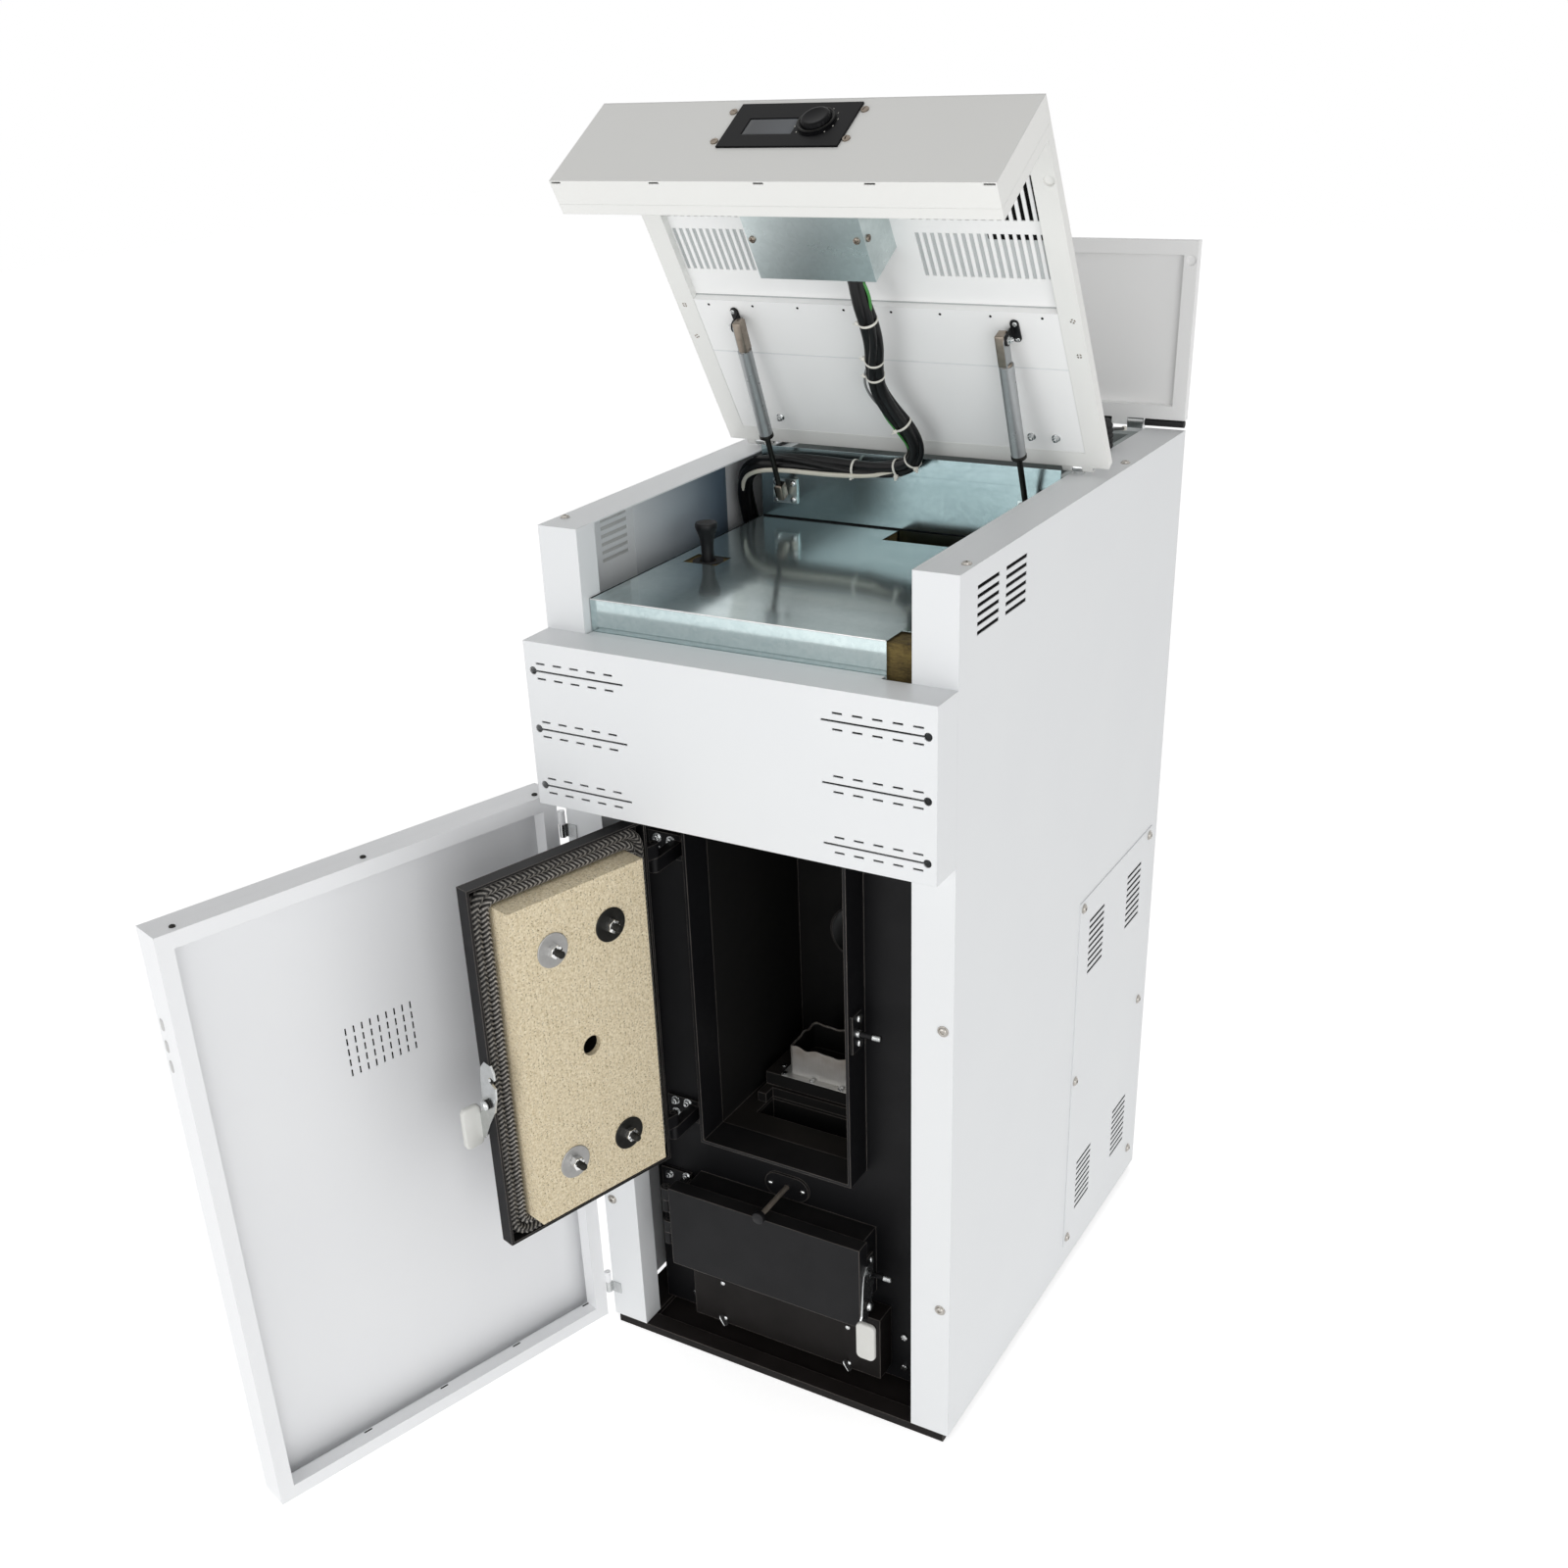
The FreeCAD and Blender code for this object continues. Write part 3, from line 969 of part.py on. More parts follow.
def electrics_box():
    """The zinc wiring box hung under the lid's vented part."""
    return shell(("-box_left", "box_right"), ("front + box_front", "front + box_front + box_length"),
                 ("lid_inside - box_drop", "lid_inside"), "lid_inner_gauge", ("+z",))


def controller():
    """The black control panel on the fascia, with its sunk screen and the ring round the knob."""
    face = "door_face - unit_thick"
    plate = box(("-unit_left", "unit_right"), (face, "door_face"), ("unit_low", "unit_low + unit_height"))
    ring = bar("y", "knob_ring", (f"{face} - knob_ring_height", face), ("knob_x", "knob_z"))
    screen = box(("-screen_left", "screen_right"), (face, f"{face} + screen_recess"),
                 ("screen_low", "screen_low + screen_height"))
    well = bar("y", "knob_radius + seat_gap", (f"{face} - knob_ring_height", face), ("knob_x", "knob_z"))
    stem = bar("y", "knob_shaft + bush_gap", (face, "door_face"), ("knob_x", "knob_z"))
    node("controller", cut(fuse(plate, ring), fuse(well, stem), screen), FRONT_LID)
    low = f"{face} - seat_gap"
    cap = bar("y", "knob_radius", (f"{low} - knob_height", low), ("knob_x", "knob_z"))
    shaft = bar("y", "knob_shaft", (low, f"{low} + knob_stem"), ("knob_x", "knob_z"))
    node("control_knob", fuse(cap, shaft), FRONT_LID)


def lid_strut_bracket(sign):
    """A foot under the lid with one ear and a short pin that faces a gas spring's eye."""
    under = "lid_inside - lid_step_rise"
    outer = "strut_x + strut_eye_half + seat_gap"
    ear_x = side(sign, outer, f"{outer} + strut_ear")
    middle = "front + strut_eye_y"
    foot = box(side(sign, outer, f"{outer} + lid_foot_width"),
               (f"{middle} - lid_foot_half", f"{middle} + lid_foot_half"), (f"{under} - strut_foot_gauge",
                                                                            under))
    ear = box(ear_x, (f"{middle} - strut_eye_radius", f"{middle} + strut_eye_radius"), ("strut_eye_z", under))
    return fuse(foot, ear, bar("x", "strut_eye_radius", ear_x, (middle, "strut_eye_z")))


def front_lid():
    node("lid_shell", lid_shell(), FRONT_LID)
    node("lid_fascia", lid_fascia(), FRONT_LID)
    node("lid_inner_panel", lid_inner_panel(), FRONT_LID)
    node("electrics_box", electrics_box(), FRONT_LID)
    controller()
    node("lid_strut_brackets", group(lid_strut_bracket(-1), lid_strut_bracket(1)), FRONT_LID)


def strut_reach():
    """Where the gas spring's upper eye is with the lid open, measured from its lower pivot."""
    back, up = "(strut_eye_y - lid_hinge_y)", "(strut_eye_z - lid_hinge_z)"
    turn = "(lid_open * 1deg)"
    eye_y = f"(lid_hinge_y + {back} * cos{turn} + {up} * sin{turn})"
    eye_z = f"(lid_hinge_z - {back} * sin{turn} + {up} * cos{turn})"
    return f"({eye_y} - strut_low_y)", f"({eye_z} - strut_low_z)"


def lean(piece, sign):
    """Stand a gas spring part, drawn upright on its lower pivot, along the line to its upper eye."""
    dy, dz = strut_reach()
    piece.Placement = FreeCAD.Placement(Vector(), Rotation(Vector(1, 0, 0), 1))
    bind(piece, "Placement.Rotation.Angle", f"atan2(-{dy}; {dz})")
    bind(piece, "Placement.Base.x", f"{sign} * strut_x")
    bind(piece, "Placement.Base.y", "front + strut_low_y")
    bind(piece, "Placement.Base.z", "strut_low_z")


def gas_spring(sign, name):
    """Rod with its lower eye, and tube with its upper eye, each a piece of its own."""
    dy, dz = strut_reach()
    length = f"sqrt({dy} * {dy} + {dz} * {dz})"
    eye = ("-strut_eye_half", "strut_eye_half")
    tube_low = f"{length} - strut_fork - strut_tube_length"
    rod_top = f"{tube_low} + strut_rod_inside"
    lower_eye = fuse(bar("x", "strut_eye_radius", eye, ("0", "0")),
                     box(eye, ("-strut_eye_radius", "strut_eye_radius"), ("0", "strut_cap")),
                     bar("z", "strut_rod", ("0", rod_top), ("0", "0")))
    rod = cut(lower_eye, bar("x", "strut_pin + bush_gap", eye, ("0", "0")))
    rod.Label = f"{name}_rod"
    lean(rod, sign)
    nodes.append(rod)
    upper_eye = fuse(bar("x", "strut_eye_radius", eye, ("0", length)),
                     box(eye, ("-strut_eye_radius", "strut_eye_radius"), (f"{length} - strut_fork", length)))
    body = bar("z", "strut_tube", (tube_low, f"{length} - strut_fork"), ("0", "0"))
    bore = bar("z", "strut_rod + bush_gap", (tube_low, f"{length} - strut_fork - strut_cap"), ("0", "0"))
    cylinder = cut(fuse(upper_eye, body), bore)
    cylinder.Label = f"{name}_tube"
    lean(cylinder, sign)
    nodes.append(cylinder)


def strut_bracket(sign):
    """A foot on the bulkhead with an ear and the pin that a gas spring stands on."""
    outer = "strut_x + strut_eye_half + seat_gap"
    ear_x = side(sign, outer, f"{outer} + strut_ear")
    at = ("front + strut_low_y", "strut_low_z")
    foot = box(side(sign, "strut_x - strut_foot", "strut_x + strut_foot"),
               ("bulkhead - strut_foot_gauge", "bulkhead"),
               ("strut_low_z - strut_foot_height / 2", "strut_low_z + strut_foot_height / 2"))
    ear = box(ear_x, (at[0], "bulkhead"), ("strut_low_z - strut_eye_radius",
                                           "strut_low_z + strut_eye_radius"))
    pin = bar("x", "strut_pin", side(sign, "strut_x - strut_eye_half", f"{outer} + strut_ear"), at)
    return fuse(foot, ear, bar("x", "strut_eye_radius", ear_x, at), pin)


def gas_springs():
    node("strut_brackets", group(strut_bracket(-1), strut_bracket(1)))
    gas_spring(-1, "left_strut")
    gas_spring(1, "right_strut")


def hopper_lid():
    """The rear lid: a shallow pan with a frame round its underside, and rear hinge lugs."""
    across, deep = ("-lid_half", "lid_half"), ("front + hopper_lid_front", "back")
    pan = shell(across, deep, ("lid_low", "lid_high"), "lid_gauge", ("-z",))
    ring = cut(box(across, deep, ("lid_low", "lid_high - lid_gauge")),
               box(("-lid_half + hopper_lid_frame", "lid_half - hopper_lid_frame"),
                   ("front + hopper_lid_front + hopper_lid_frame", "back - hopper_lid_frame"),
                   ("lid_low", "lid_high - lid_gauge")))
    at = HOPPER_LID[1]
    lugs, bores = [], []
    for sign in (-1, 1):
        across = side(sign, "hopper_lug_x - hopper_block - seat_gap", "hopper_lug_x - seat_gap")
        lugs += [bar("x", "lid_lug_radius", across, at),
                 box(across, ("back", at[0]),
                     ("hopper_hinge_z - lid_lug_radius", "hopper_hinge_z + lid_lug_radius"))]
        bores.append(bar("x", "lid_pin + bush_gap", across, at))
    node("hopper_lid", cut(fuse(pan, ring, *lugs), *bores, *screw_pockets("rear_screw_y")), HOPPER_LID)


def lid_hinges():
    """Fixed hinge blocks: a pair on the side flanges for the front lid, a pair on the rear for the other."""
    blocks = []
    at = FRONT_LID[1]
    for sign in (-1, 1):
        across = side(sign, "lid_lug_x - lid_lug_width / 2", "lid_lug_x + lid_lug_width / 2")
        reach = "1.5 * lid_lug_width + seat_gap"
        pin = side(sign, f"lid_lug_x - {reach}", f"lid_lug_x + {reach}")
        block = box(across, (at[0], f"{at[0]} + lid_block"), ("cabinet_height",
                                                              "lid_hinge_z + lid_lug_radius"))
        blocks.append(fuse(block, bar("x", "lid_lug_radius", across, at), bar("x", "lid_pin", pin, at)))
    at = HOPPER_LID[1]
    for sign in (-1, 1):
        across = side(sign, "hopper_lug_x", "hopper_lug_x + hopper_block")
        pin = side(sign, "hopper_lug_x - hopper_block - seat_gap", "hopper_lug_x + hopper_block")
        block = box(across, ("back", f"{at[0]} + lid_lug_radius"), ("hopper_hinge_z - hopper_block", at[1]))
        blocks.append(fuse(block, bar("x", "lid_lug_radius", across, at), bar("x", "lid_pin", pin, at)))
    node("lid_hinges", group(*blocks))


def lid_switch():
    """The rubber-booted hopper lid switch on the hopper rim, with its feeler rod."""
    foot = "bulkhead_top + bulkhead_sheet"
    at = ("switch_x", "front + switch_y")
    boot = bar("z", "switch_radius", (foot, f"{foot} + switch_height"), at)
    rod = bar("z", "switch_rod", ("0", "switch_rod_length"), ("0", "0"))
    feeler = group(rod)
    feeler.Placement = FreeCAD.Placement(Vector(), Rotation(Vector(1, 0, 0), -90))
    bind(feeler, "Placement.Rotation.Angle", "-90deg - asin(switch_rod_dip / switch_rod_length)")
    for name, place in zip("xyz", at + (f"{foot} + switch_rod_rise",)):
        bind(feeler, f"Placement.Base.{name}", place)
    node("lid_switch", fuse(boot, feeler))


def screw_heads():
    """Pan-head screws on the pillars, the top flanges and round the access cover."""
    heads = []
    for sign in (-1, 1):
        for y in ("corner_screw_y", "rear_screw_y"):
            heads.append(bar("z", "screw_head", ("cabinet_height", "cabinet_height + screw_height"),
                             (f"{sign} * corner_screw_x", f"front + {y}")))
        for level in ("pillar_screw_low", "pillar_screw_high"):
            heads.append(bar("y", "screw_head", ("front - screw_height", "front"),
                             (f"{sign} * pillar_screw_x", level)))
    outside = ("half + cover_gauge", "half + cover_gauge + screw_height")
    for y in ("cover_screw_inset", "cover_length - cover_screw_inset"):
        for z in ("cover_screw_inset", "cover_height / 2", "cover_height - cover_screw_inset"):
            heads.append(bar("x", "screw_head", outside, (f"front + cover_front + {y}",
                                                          f"cover_bottom + {z}")))
    node("cabinet_screws", group(*heads))


# the loom's route, for a cabinet of the given height
LOOM_CABINET = 1326
LOOM_ROUTE = [(20, 283, 1608.8), (23, 292, 1575), (27, 309, 1543), (24, 330, 1511), (12, 352, 1479),
              (6, 374, 1446), (17, 393, 1415), (33, 412, 1386), (38, 430, 1357), (24, 443, 1333),
              (-7, 450, 1321), (-48, 453, 1316.5), (-92, 454.4, 1316), (-136, 454.6, 1317),
              (-180, 454.4, 1317.4), (-222, 453, 1314), (-254, 456, 1300), (-267, 466, 1272),
              (-270, 477, 1240), (-268, 487, 1208)]


def loom():
    """The wiring loom from the wiring box down to the left end of the bulkhead, as runs and tangent arcs."""
    lift = number("cabinet_height") - LOOM_CABINET
    points = [Vector(x, number("front") + y, z + lift) for x, y, z in LOOM_ROUTE]
    edges, start, radii = [], points[0], []
    for before, at, after in zip(points, points[1:], points[2:]):
        back, on = before - at, after - at
        turn = math.pi - back.getAngle(on)
        reach = 0.45 * min(back.Length, on.Length)
        radii.append(reach / math.tan(turn / 2))
        back.normalize()
        on.normalize()
        first, last = at + back * reach, at + on * reach
        middle = (back + on).normalize()
        rise = radii[-1] / math.cos(turn / 2) - radii[-1]
        edges += [Part.LineSegment(start, first).toShape(), Part.Arc(first, at + middle * rise,
                                                                     last).toShape()]
        start = last
    edges.append(Part.LineSegment(start, points[-1]).toShape())
    path = Part.Wire(edges)
    radius = number("loom_radius")
    ring = Part.Wire(Part.makeCircle(radius, points[0], points[1] - points[0]))
    solid = path.makePipeShell([ring], True, False)
    print("loom radii", [round(r) for r in radii], "length", round(path.Length),
          "volume share", round(solid.Volume / (math.pi * radius ** 2 * path.Length), 4))
    node("wiring_loom", set_shape("loom", solid))


def write_parts():
    doc.recompute()
    failed = [f"{piece.Label}: {piece.State}" for piece in doc.Objects
              if "Invalid" in piece.State or "Error" in piece.State]
    failed += [piece.Label for piece in nodes if piece.Shape.isNull() or not piece.Shape.isValid()]
    if failed:
        raise RuntimeError("failed pieces: " + ", ".join(failed))
    os.makedirs("parts", exist_ok=True)
    for piece in nodes:
        piece.Shape.exportStep(f"parts/{piece.Label}.step")
    print(len(nodes), "nodes,", sum(len(piece.Shape.Solids) for piece in nodes), "solids")


for build in (cabinet, boiler, burner, top_well, cleaning_grip, hopper, auger, exhaust, connections,
              front_door,
              boiler_doors, front_lid, gas_springs, hopper_lid, lid_hinges, lid_switch, screw_heads, loom):
    build()
write_parts()
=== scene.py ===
"""Looks of the compact pellet boiler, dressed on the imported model.

Lengths are millimetres in the model's frame (+Z up, front towards -Y), with depths counted from the
front face of the corner pillars, as in the part's source. They become metres when a mesh is made.
Pieces on doors and lids are drawn shut and then swung to the open rest pose.
"""
import logging
import math
from dataclasses import dataclass, replace
from enum import Enum
from typing import Any, Sequence

import bmesh
import bpy
import numpy as np
from mathutils import Euler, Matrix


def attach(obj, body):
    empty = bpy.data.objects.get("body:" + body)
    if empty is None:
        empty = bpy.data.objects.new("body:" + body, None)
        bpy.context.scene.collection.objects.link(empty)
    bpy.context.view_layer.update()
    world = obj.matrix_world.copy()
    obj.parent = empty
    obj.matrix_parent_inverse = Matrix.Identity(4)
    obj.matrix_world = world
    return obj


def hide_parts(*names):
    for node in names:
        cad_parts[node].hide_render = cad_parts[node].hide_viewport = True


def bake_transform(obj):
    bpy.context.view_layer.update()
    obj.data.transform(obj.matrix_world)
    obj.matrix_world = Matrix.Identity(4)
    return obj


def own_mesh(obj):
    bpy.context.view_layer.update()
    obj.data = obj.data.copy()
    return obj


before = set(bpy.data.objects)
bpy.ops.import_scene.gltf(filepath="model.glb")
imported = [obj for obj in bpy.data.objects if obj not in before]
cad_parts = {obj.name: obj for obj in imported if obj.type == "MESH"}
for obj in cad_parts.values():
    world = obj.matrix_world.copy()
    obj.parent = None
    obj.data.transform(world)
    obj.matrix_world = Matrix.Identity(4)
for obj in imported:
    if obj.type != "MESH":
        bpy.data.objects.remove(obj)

Array = np.ndarray
Pair = tuple[float, float]
Triple = tuple[float, float, float]
Spots = Sequence[Triple]
Profile = Sequence[tuple[float, ...]]

log = logging.getLogger("boiler")
FRONT = -397.5
TURN = 2 * math.pi
MM = 1000
FORWARD, BACK, UP, DOWN, RIGHT = (0, -1, 0), (0, 1, 0), (0, 0, 1), (0, 0, -1), (1, 0, 0)
SIDES = (-1, 1)
CREASE = 35.0  # degrees from which an edge stays sharp
SOFT = 180.0  # no edge stays sharp
WELD = 2e-6  # metres within which points are merged
COAT_ROUGHNESS = 0.12
BEVEL_SAMPLES = 4
FASTENER_STEP, RECESS_STEP = 17.0, 31.0  # degrees that each fastener of a set is further round


def at(x: float, y: float, z: float) -> Array:
    """A place in the model's frame from one whose depth is counted from the pillars' front."""
    return np.array((x, y + FRONT, z), float)


def metres(point: Array) -> list[float]:
    """A place in metres as plain numbers."""
    return [float(value) / MM for value in point]


def unit(vectors: Array) -> Array:
    """Vectors along the last axis, made one long."""
    return vectors / np.linalg.norm(vectors, axis=-1, keepdims=True)


def rays(angle: Array) -> Array:
    """Unit directions in a plane at angles in radians."""
    return np.stack((np.cos(angle), np.sin(angle)), axis=-1)


def walked(line: Array) -> Array:
    """The length from a line's start to each of its points."""
    return np.concatenate(([0], np.cumsum(np.linalg.norm(np.diff(line, axis=0), axis=1))))


def along(line: Array, way: Array) -> Array:
    """The places on a line at given lengths from its start."""
    return np.stack([np.interp(way, walked(line), column) for column in line.T], axis=-1)


# ---------------------------------------------------------------- shapes


class Axis(Enum):
    """Directions that hinge lines run in, by the number of the coordinate."""
    X = 0
    Z = 2


@dataclass(frozen=True)
class Swing:
    """A hinge line along X or Z and the angle in degrees that its door or lid rests at."""
    axis: Axis
    first: float
    second: float
    angle: float

    def turn(self, points: Array) -> Array:
        """Points turned about the hinge line by a plane rotation of their two other coordinates."""
        one, two = (number for number in range(3) if number != self.axis.value)
        c, s = math.cos(math.radians(self.angle)), math.sin(math.radians(self.angle))
        a, b = points[..., one] - self.first, points[..., two] - self.second
        moved = points.copy()
        moved[..., one] = self.first + a * c - b * s
        moved[..., two] = self.second + a * s + b * c
        return moved


CHAMBER_DOOR = Swing(Axis.Z, -167, FRONT + 16, -106.4)
FRONT_LID = Swing(Axis.X, FRONT + 494, 1335, -59)
SWINGS = {"front_door": Swing(Axis.Z, -305.4, FRONT - 5, -107.5), "chamber_door": CHAMBER_DOOR,
          "chamber_latch": CHAMBER_DOOR, "front_lid": FRONT_LID, "control_knob": FRONT_LID}


@dataclass(frozen=True)
class Surface:
    """Points, four-cornered faces and texture places of one or more grid surfaces."""
    points: Array
    faces: Array
    uv: Array

    def stood(self, spot: Array, axis: Triple = UP, spin: float = 0.0) -> "Surface":
        """The surface with its own Z laid along an axis and its origin moved to a spot.

        The two cross directions are the axis crossed with a helper direction that isn't parallel to it.

        Args:
            spot: where the origin goes.
            axis: the direction for the surface's Z.
            spin: a turn about that axis, in degrees.
        Returns:
            The placed surface.
        """
        up = unit(np.array(axis, float))
        right = unit(np.cross(UP if abs(up[2]) < 0.9 else BACK, up))
        away = np.cross(up, right)
        c, s = math.cos(math.radians(spin)), math.sin(math.radians(spin))
        basis = np.stack((right * c + away * s, away * c - right * s, up))
        return replace(self, points=self.points @ basis + spot)


def join(parts: Sequence[Surface]) -> Surface:
    """Several surfaces as one, with the face numbers of each moved past the points before it."""
    starts = np.cumsum([0] + [len(part.points) for part in parts[:-1]])
    return Surface(np.vstack([part.points for part in parts]),
                   np.vstack([part.faces + start for part, start in zip(parts, starts)]),
                   np.vstack([part.uv for part in parts]))


def repeated(one: Surface, spots: Spots, axis: Triple = UP, step: float = 0.0) -> Surface:
    """A surface at several spots, depth counted from the pillars' front, each a step of degrees further round."""
    return join([one.stood(at(*spot), axis, step * number) for number, spot in enumerate(spots)])


def sheet(points: Array) -> Surface:
    """A grid of points as quads; the texture place of a point is its share along each grid direction."""
    rows, columns = points.shape[:2]
    index = np.arange(rows * columns).reshape(rows, columns)
    faces = np.stack((index[:-1, :-1], index[:-1, 1:], index[1:, 1:], index[1:, :-1]), axis=-1).reshape(-1, 4)
    u, v = np.meshgrid(np.linspace(0, 1, rows), np.linspace(0, 1, columns), indexing="ij")
    return Surface(points.reshape(-1, 3), faces, np.stack((u, v), axis=-1).reshape(-1, 2))


def turned(profile: Profile, steps: int = 36) -> Surface:
    """A turned piece about Z: radius and height along a profile, swept round a full circle.

    A third number in a profile row draws the ring towards a hexagon: the radius is multiplied by
    cos 30 / cos of the angle to the nearest flat, in that share.

    Args:
        profile: rows of radius, height and, where it isn't round, the hexagon's share.
        steps: points round the circle.
    Returns:
        The closed surface.
    """
    rows = np.array([tuple(row) + (0.0,) * (3 - len(row)) for row in profile])
    angle = np.linspace(0, TURN, steps + 1)
    flat = math.cos(math.pi / 6) / np.cos((angle % (math.pi / 3)) - math.pi / 6)
    radius = rows[:, :1] * (1 - rows[:, 2:] + rows[:, 2:] * flat[None, :])
    height = np.repeat(rows[:, 1:2], steps + 1, axis=1)
    return sheet(np.stack((radius * np.cos(angle), radius * np.sin(angle), height), axis=-1))


def thread(radii: Pair, start: float, rise: float, count: int) -> list[Pair]:
    """Profile rows of a screw thread: two radii in turn at levels that rise evenly."""
    return [(radii[row % 2], start + rise * row) for row in range(count)]


def ring(inner: float, outer: float, thick: float, steps: int = 48) -> Surface:
    """A flat ring with rounded rims: a closed profile turned about Z."""
    soft = min(thick, outer - inner) * 0.25
    return turned(((inner, soft), (inner + soft, 0), (outer - soft, 0), (outer, soft), (outer, thick - soft),
                   (outer - soft, thick), (inner + soft, thick), (inner, thick - soft), (inner, soft)), steps)


def swept(path: Array, section: Array, across: Triple, twist: Array | float = 0.0) -> Surface:
    """A section carried along a path and drawn in to a point at both ends.

    At each path point the section's two directions are the helper direction made square to the path, and
    the path crossed with it. The section may turn along the way.

    Args:
        path: points along the way.
        section: closed outline, one row of two numbers a point; its last point repeats the first.
        across: a helper direction that the path never runs along.
        twist: a turn of the section at each path point, in radians.
    Returns:
        The closed surface.
    """
    ahead = unit(np.gradient(path, axis=0))
    helper = np.array(across, float)
    one = unit(helper - (ahead @ helper)[:, None] * ahead)
    two = np.cross(ahead, one)
    angle = np.broadcast_to(twist, len(path))
    c, s = np.cos(angle)[:, None], np.sin(angle)[:, None]
    a = section[None, :, 0] * c - section[None, :, 1] * s
    b = section[None, :, 0] * s + section[None, :, 1] * c
    points = path[:, None] + a[..., None] * one[:, None] + b[..., None] * two[:, None]
    ends = np.repeat(path[[0, -1], None], points.shape[1], axis=1)
    return sheet(np.concatenate((ends[:1], points, ends[1:])))


def ring_section(radius: float, steps: int) -> Array:
    """A round outline for a swept piece."""
    return radius * rays(np.linspace(0, TURN, steps + 1))


def rounded_outline(width: float, height: float, radius: float, steps: int) -> Array:
    """A closed rectangle with round corners: a circle cut in four, each quarter moved out to its corner."""
    angle = (np.arange(4)[:, None] * math.pi / 2 + np.linspace(0, math.pi / 2, steps)[None, :]).ravel()
    corner = np.repeat(np.array(((1, 1), (-1, 1), (-1, -1), (1, -1))), steps, axis=0)
    outline = corner * (np.array((width, height)) / 2 - radius) + radius * rays(angle)
    return np.vstack((outline, outline[:1]))


def slab(size: Triple, thick: float, edge: float, crown: float = 0.0, steps: int = 6) -> Surface:
    """A plate with rounded edges: an outline drawn in by a quarter circle at each face, closed at the middle.

    The outline's points move along its inward normals by edge times one minus the cosine; the two faces are
    drawn in to their middle, which may stand proud by the crown.

    Args:
        size: width, height and corner radius of its rectangle in X and Y.
        thick: size along Z, from 0 up.
        edge: radius of the rounded edges.
        crown: how far the middle of the upper face stands proud.
        steps: points on each corner.
    Returns:
        The closed surface.
    """
    outline = rounded_outline(*size, steps)
    ahead = np.gradient(outline, axis=0)
    ahead[0] = ahead[-1] = outline[1] - outline[-2]
    inward = unit(np.stack((-ahead[:, 1], ahead[:, 0]), axis=-1))
    bend = np.linspace(0, math.pi / 2, 5)
    inset = edge * np.concatenate((1 - np.sin(bend), 1 - np.cos(bend)))
    level = np.concatenate((edge * (1 - np.cos(bend)), thick - edge * (1 - np.sin(bend))))
    rim = outline[None] + inward[None] * inset[:, None, None]
    middle = outline[:-1].mean(axis=0)
    shares = (0.75, 0.5, 0.25, 0.0)
    rings = [np.broadcast_to(middle, rim[:1].shape), rim]
    rings += [middle + (rim[-1:] - middle) * share for share in shares]
    levels = np.concatenate(([0], level, [thick + crown * (1 - share ** 2) for share in shares]))
    flat = np.concatenate(rings)
    height = np.broadcast_to(levels[:, None, None], flat.shape[:2] + (1,))
    return sheet(np.concatenate((flat, height), axis=-1))


def block(low: Array | Triple, high: Array | Triple, radius: float) -> Surface:
    """A block with rounded edges: a ball pulled apart towards the eight corners.

    Each point of a ball of the edge radius is moved by the sign of its three coordinates times the block's
    half size less that radius.

    Args:
        low: lowest corner.
        high: highest corner.
        radius: of the edges.
    Returns:
        The closed surface.
    """
    steps = 24
    half = (np.array(high, float) - low) / 2
    tilt = np.concatenate(([0], (np.arange(steps // 2) + 0.5) * TURN / steps, [math.pi]))[:, None]
    angle = (np.arange(steps + 1) + 0.5) * TURN / steps
    normal = np.stack((np.sin(tilt) * np.cos(angle), np.sin(tilt) * np.sin(angle),
                       np.repeat(np.cos(tilt), steps + 1, axis=1)), axis=-1)
    pull = np.sign(np.where(np.abs(normal) < 1e-9, 0, normal))
    return sheet(np.array(low) + half + pull * (half - radius) + radius * normal)


Bar = tuple[Triple, Triple, float]  # two corners, depth counted from the pillars' front, and the edges' radius


def bars(*rows: Bar) -> Surface:
    """Blocks as one surface."""
    return join([block(at(*low), at(*high), radius) for low, high, radius in rows])


def placed(name: str, data: Any) -> bpy.types.Object:
    """A new object in the scene that holds some data."""
    made = bpy.data.objects.new(name, data)
    bpy.context.scene.collection.objects.link(made)
    return made


def worked_out(holder: bpy.types.Object) -> bpy.types.Mesh:
    """The mesh of an object's curve or modifiers; the object itself goes."""
    bpy.context.view_layer.update()
    mesh = bpy.data.meshes.new_from_object(holder.evaluated_get(bpy.context.evaluated_depsgraph_get()))
    bpy.data.objects.remove(holder)
    return mesh


def listed(items: Any, name: str, each: int = 3, kind: type = float) -> Array:
    """One value of all of a mesh's points, normals or corners, which has this many numbers each."""
    flat = np.empty(len(items) * each, kind)
    items.foreach_get(name, flat)
    return flat


# ---------------------------------------------------------------- finishes


def linear(code: str) -> tuple[float, ...]:
    """An sRGB hex colour as linear values with full opacity."""
    value = np.array([int(code[i:i + 2], 16) for i in (1, 3, 5)]) / 255
    value = np.where(value <= 0.04045, value / 12.92, ((value + 0.055) / 1.055) ** 2.4)
    return (*value.tolist(), 1.0)


def per_metre(size: float) -> float:
    """The texture scale that gives a pattern of this size in millimetres."""
    return MM / size


def fill(tree: bpy.types.NodeTree, node: bpy.types.Node, inputs: dict[Any, Any]) -> None:
    """Sets a node's inputs, by name or number, to values or links them to output sockets."""
    for name, value in inputs.items():
        if isinstance(value, bpy.types.NodeSocket):
            tree.links.new(value, node.inputs[name])
        else:
            node.inputs[name].default_value = value


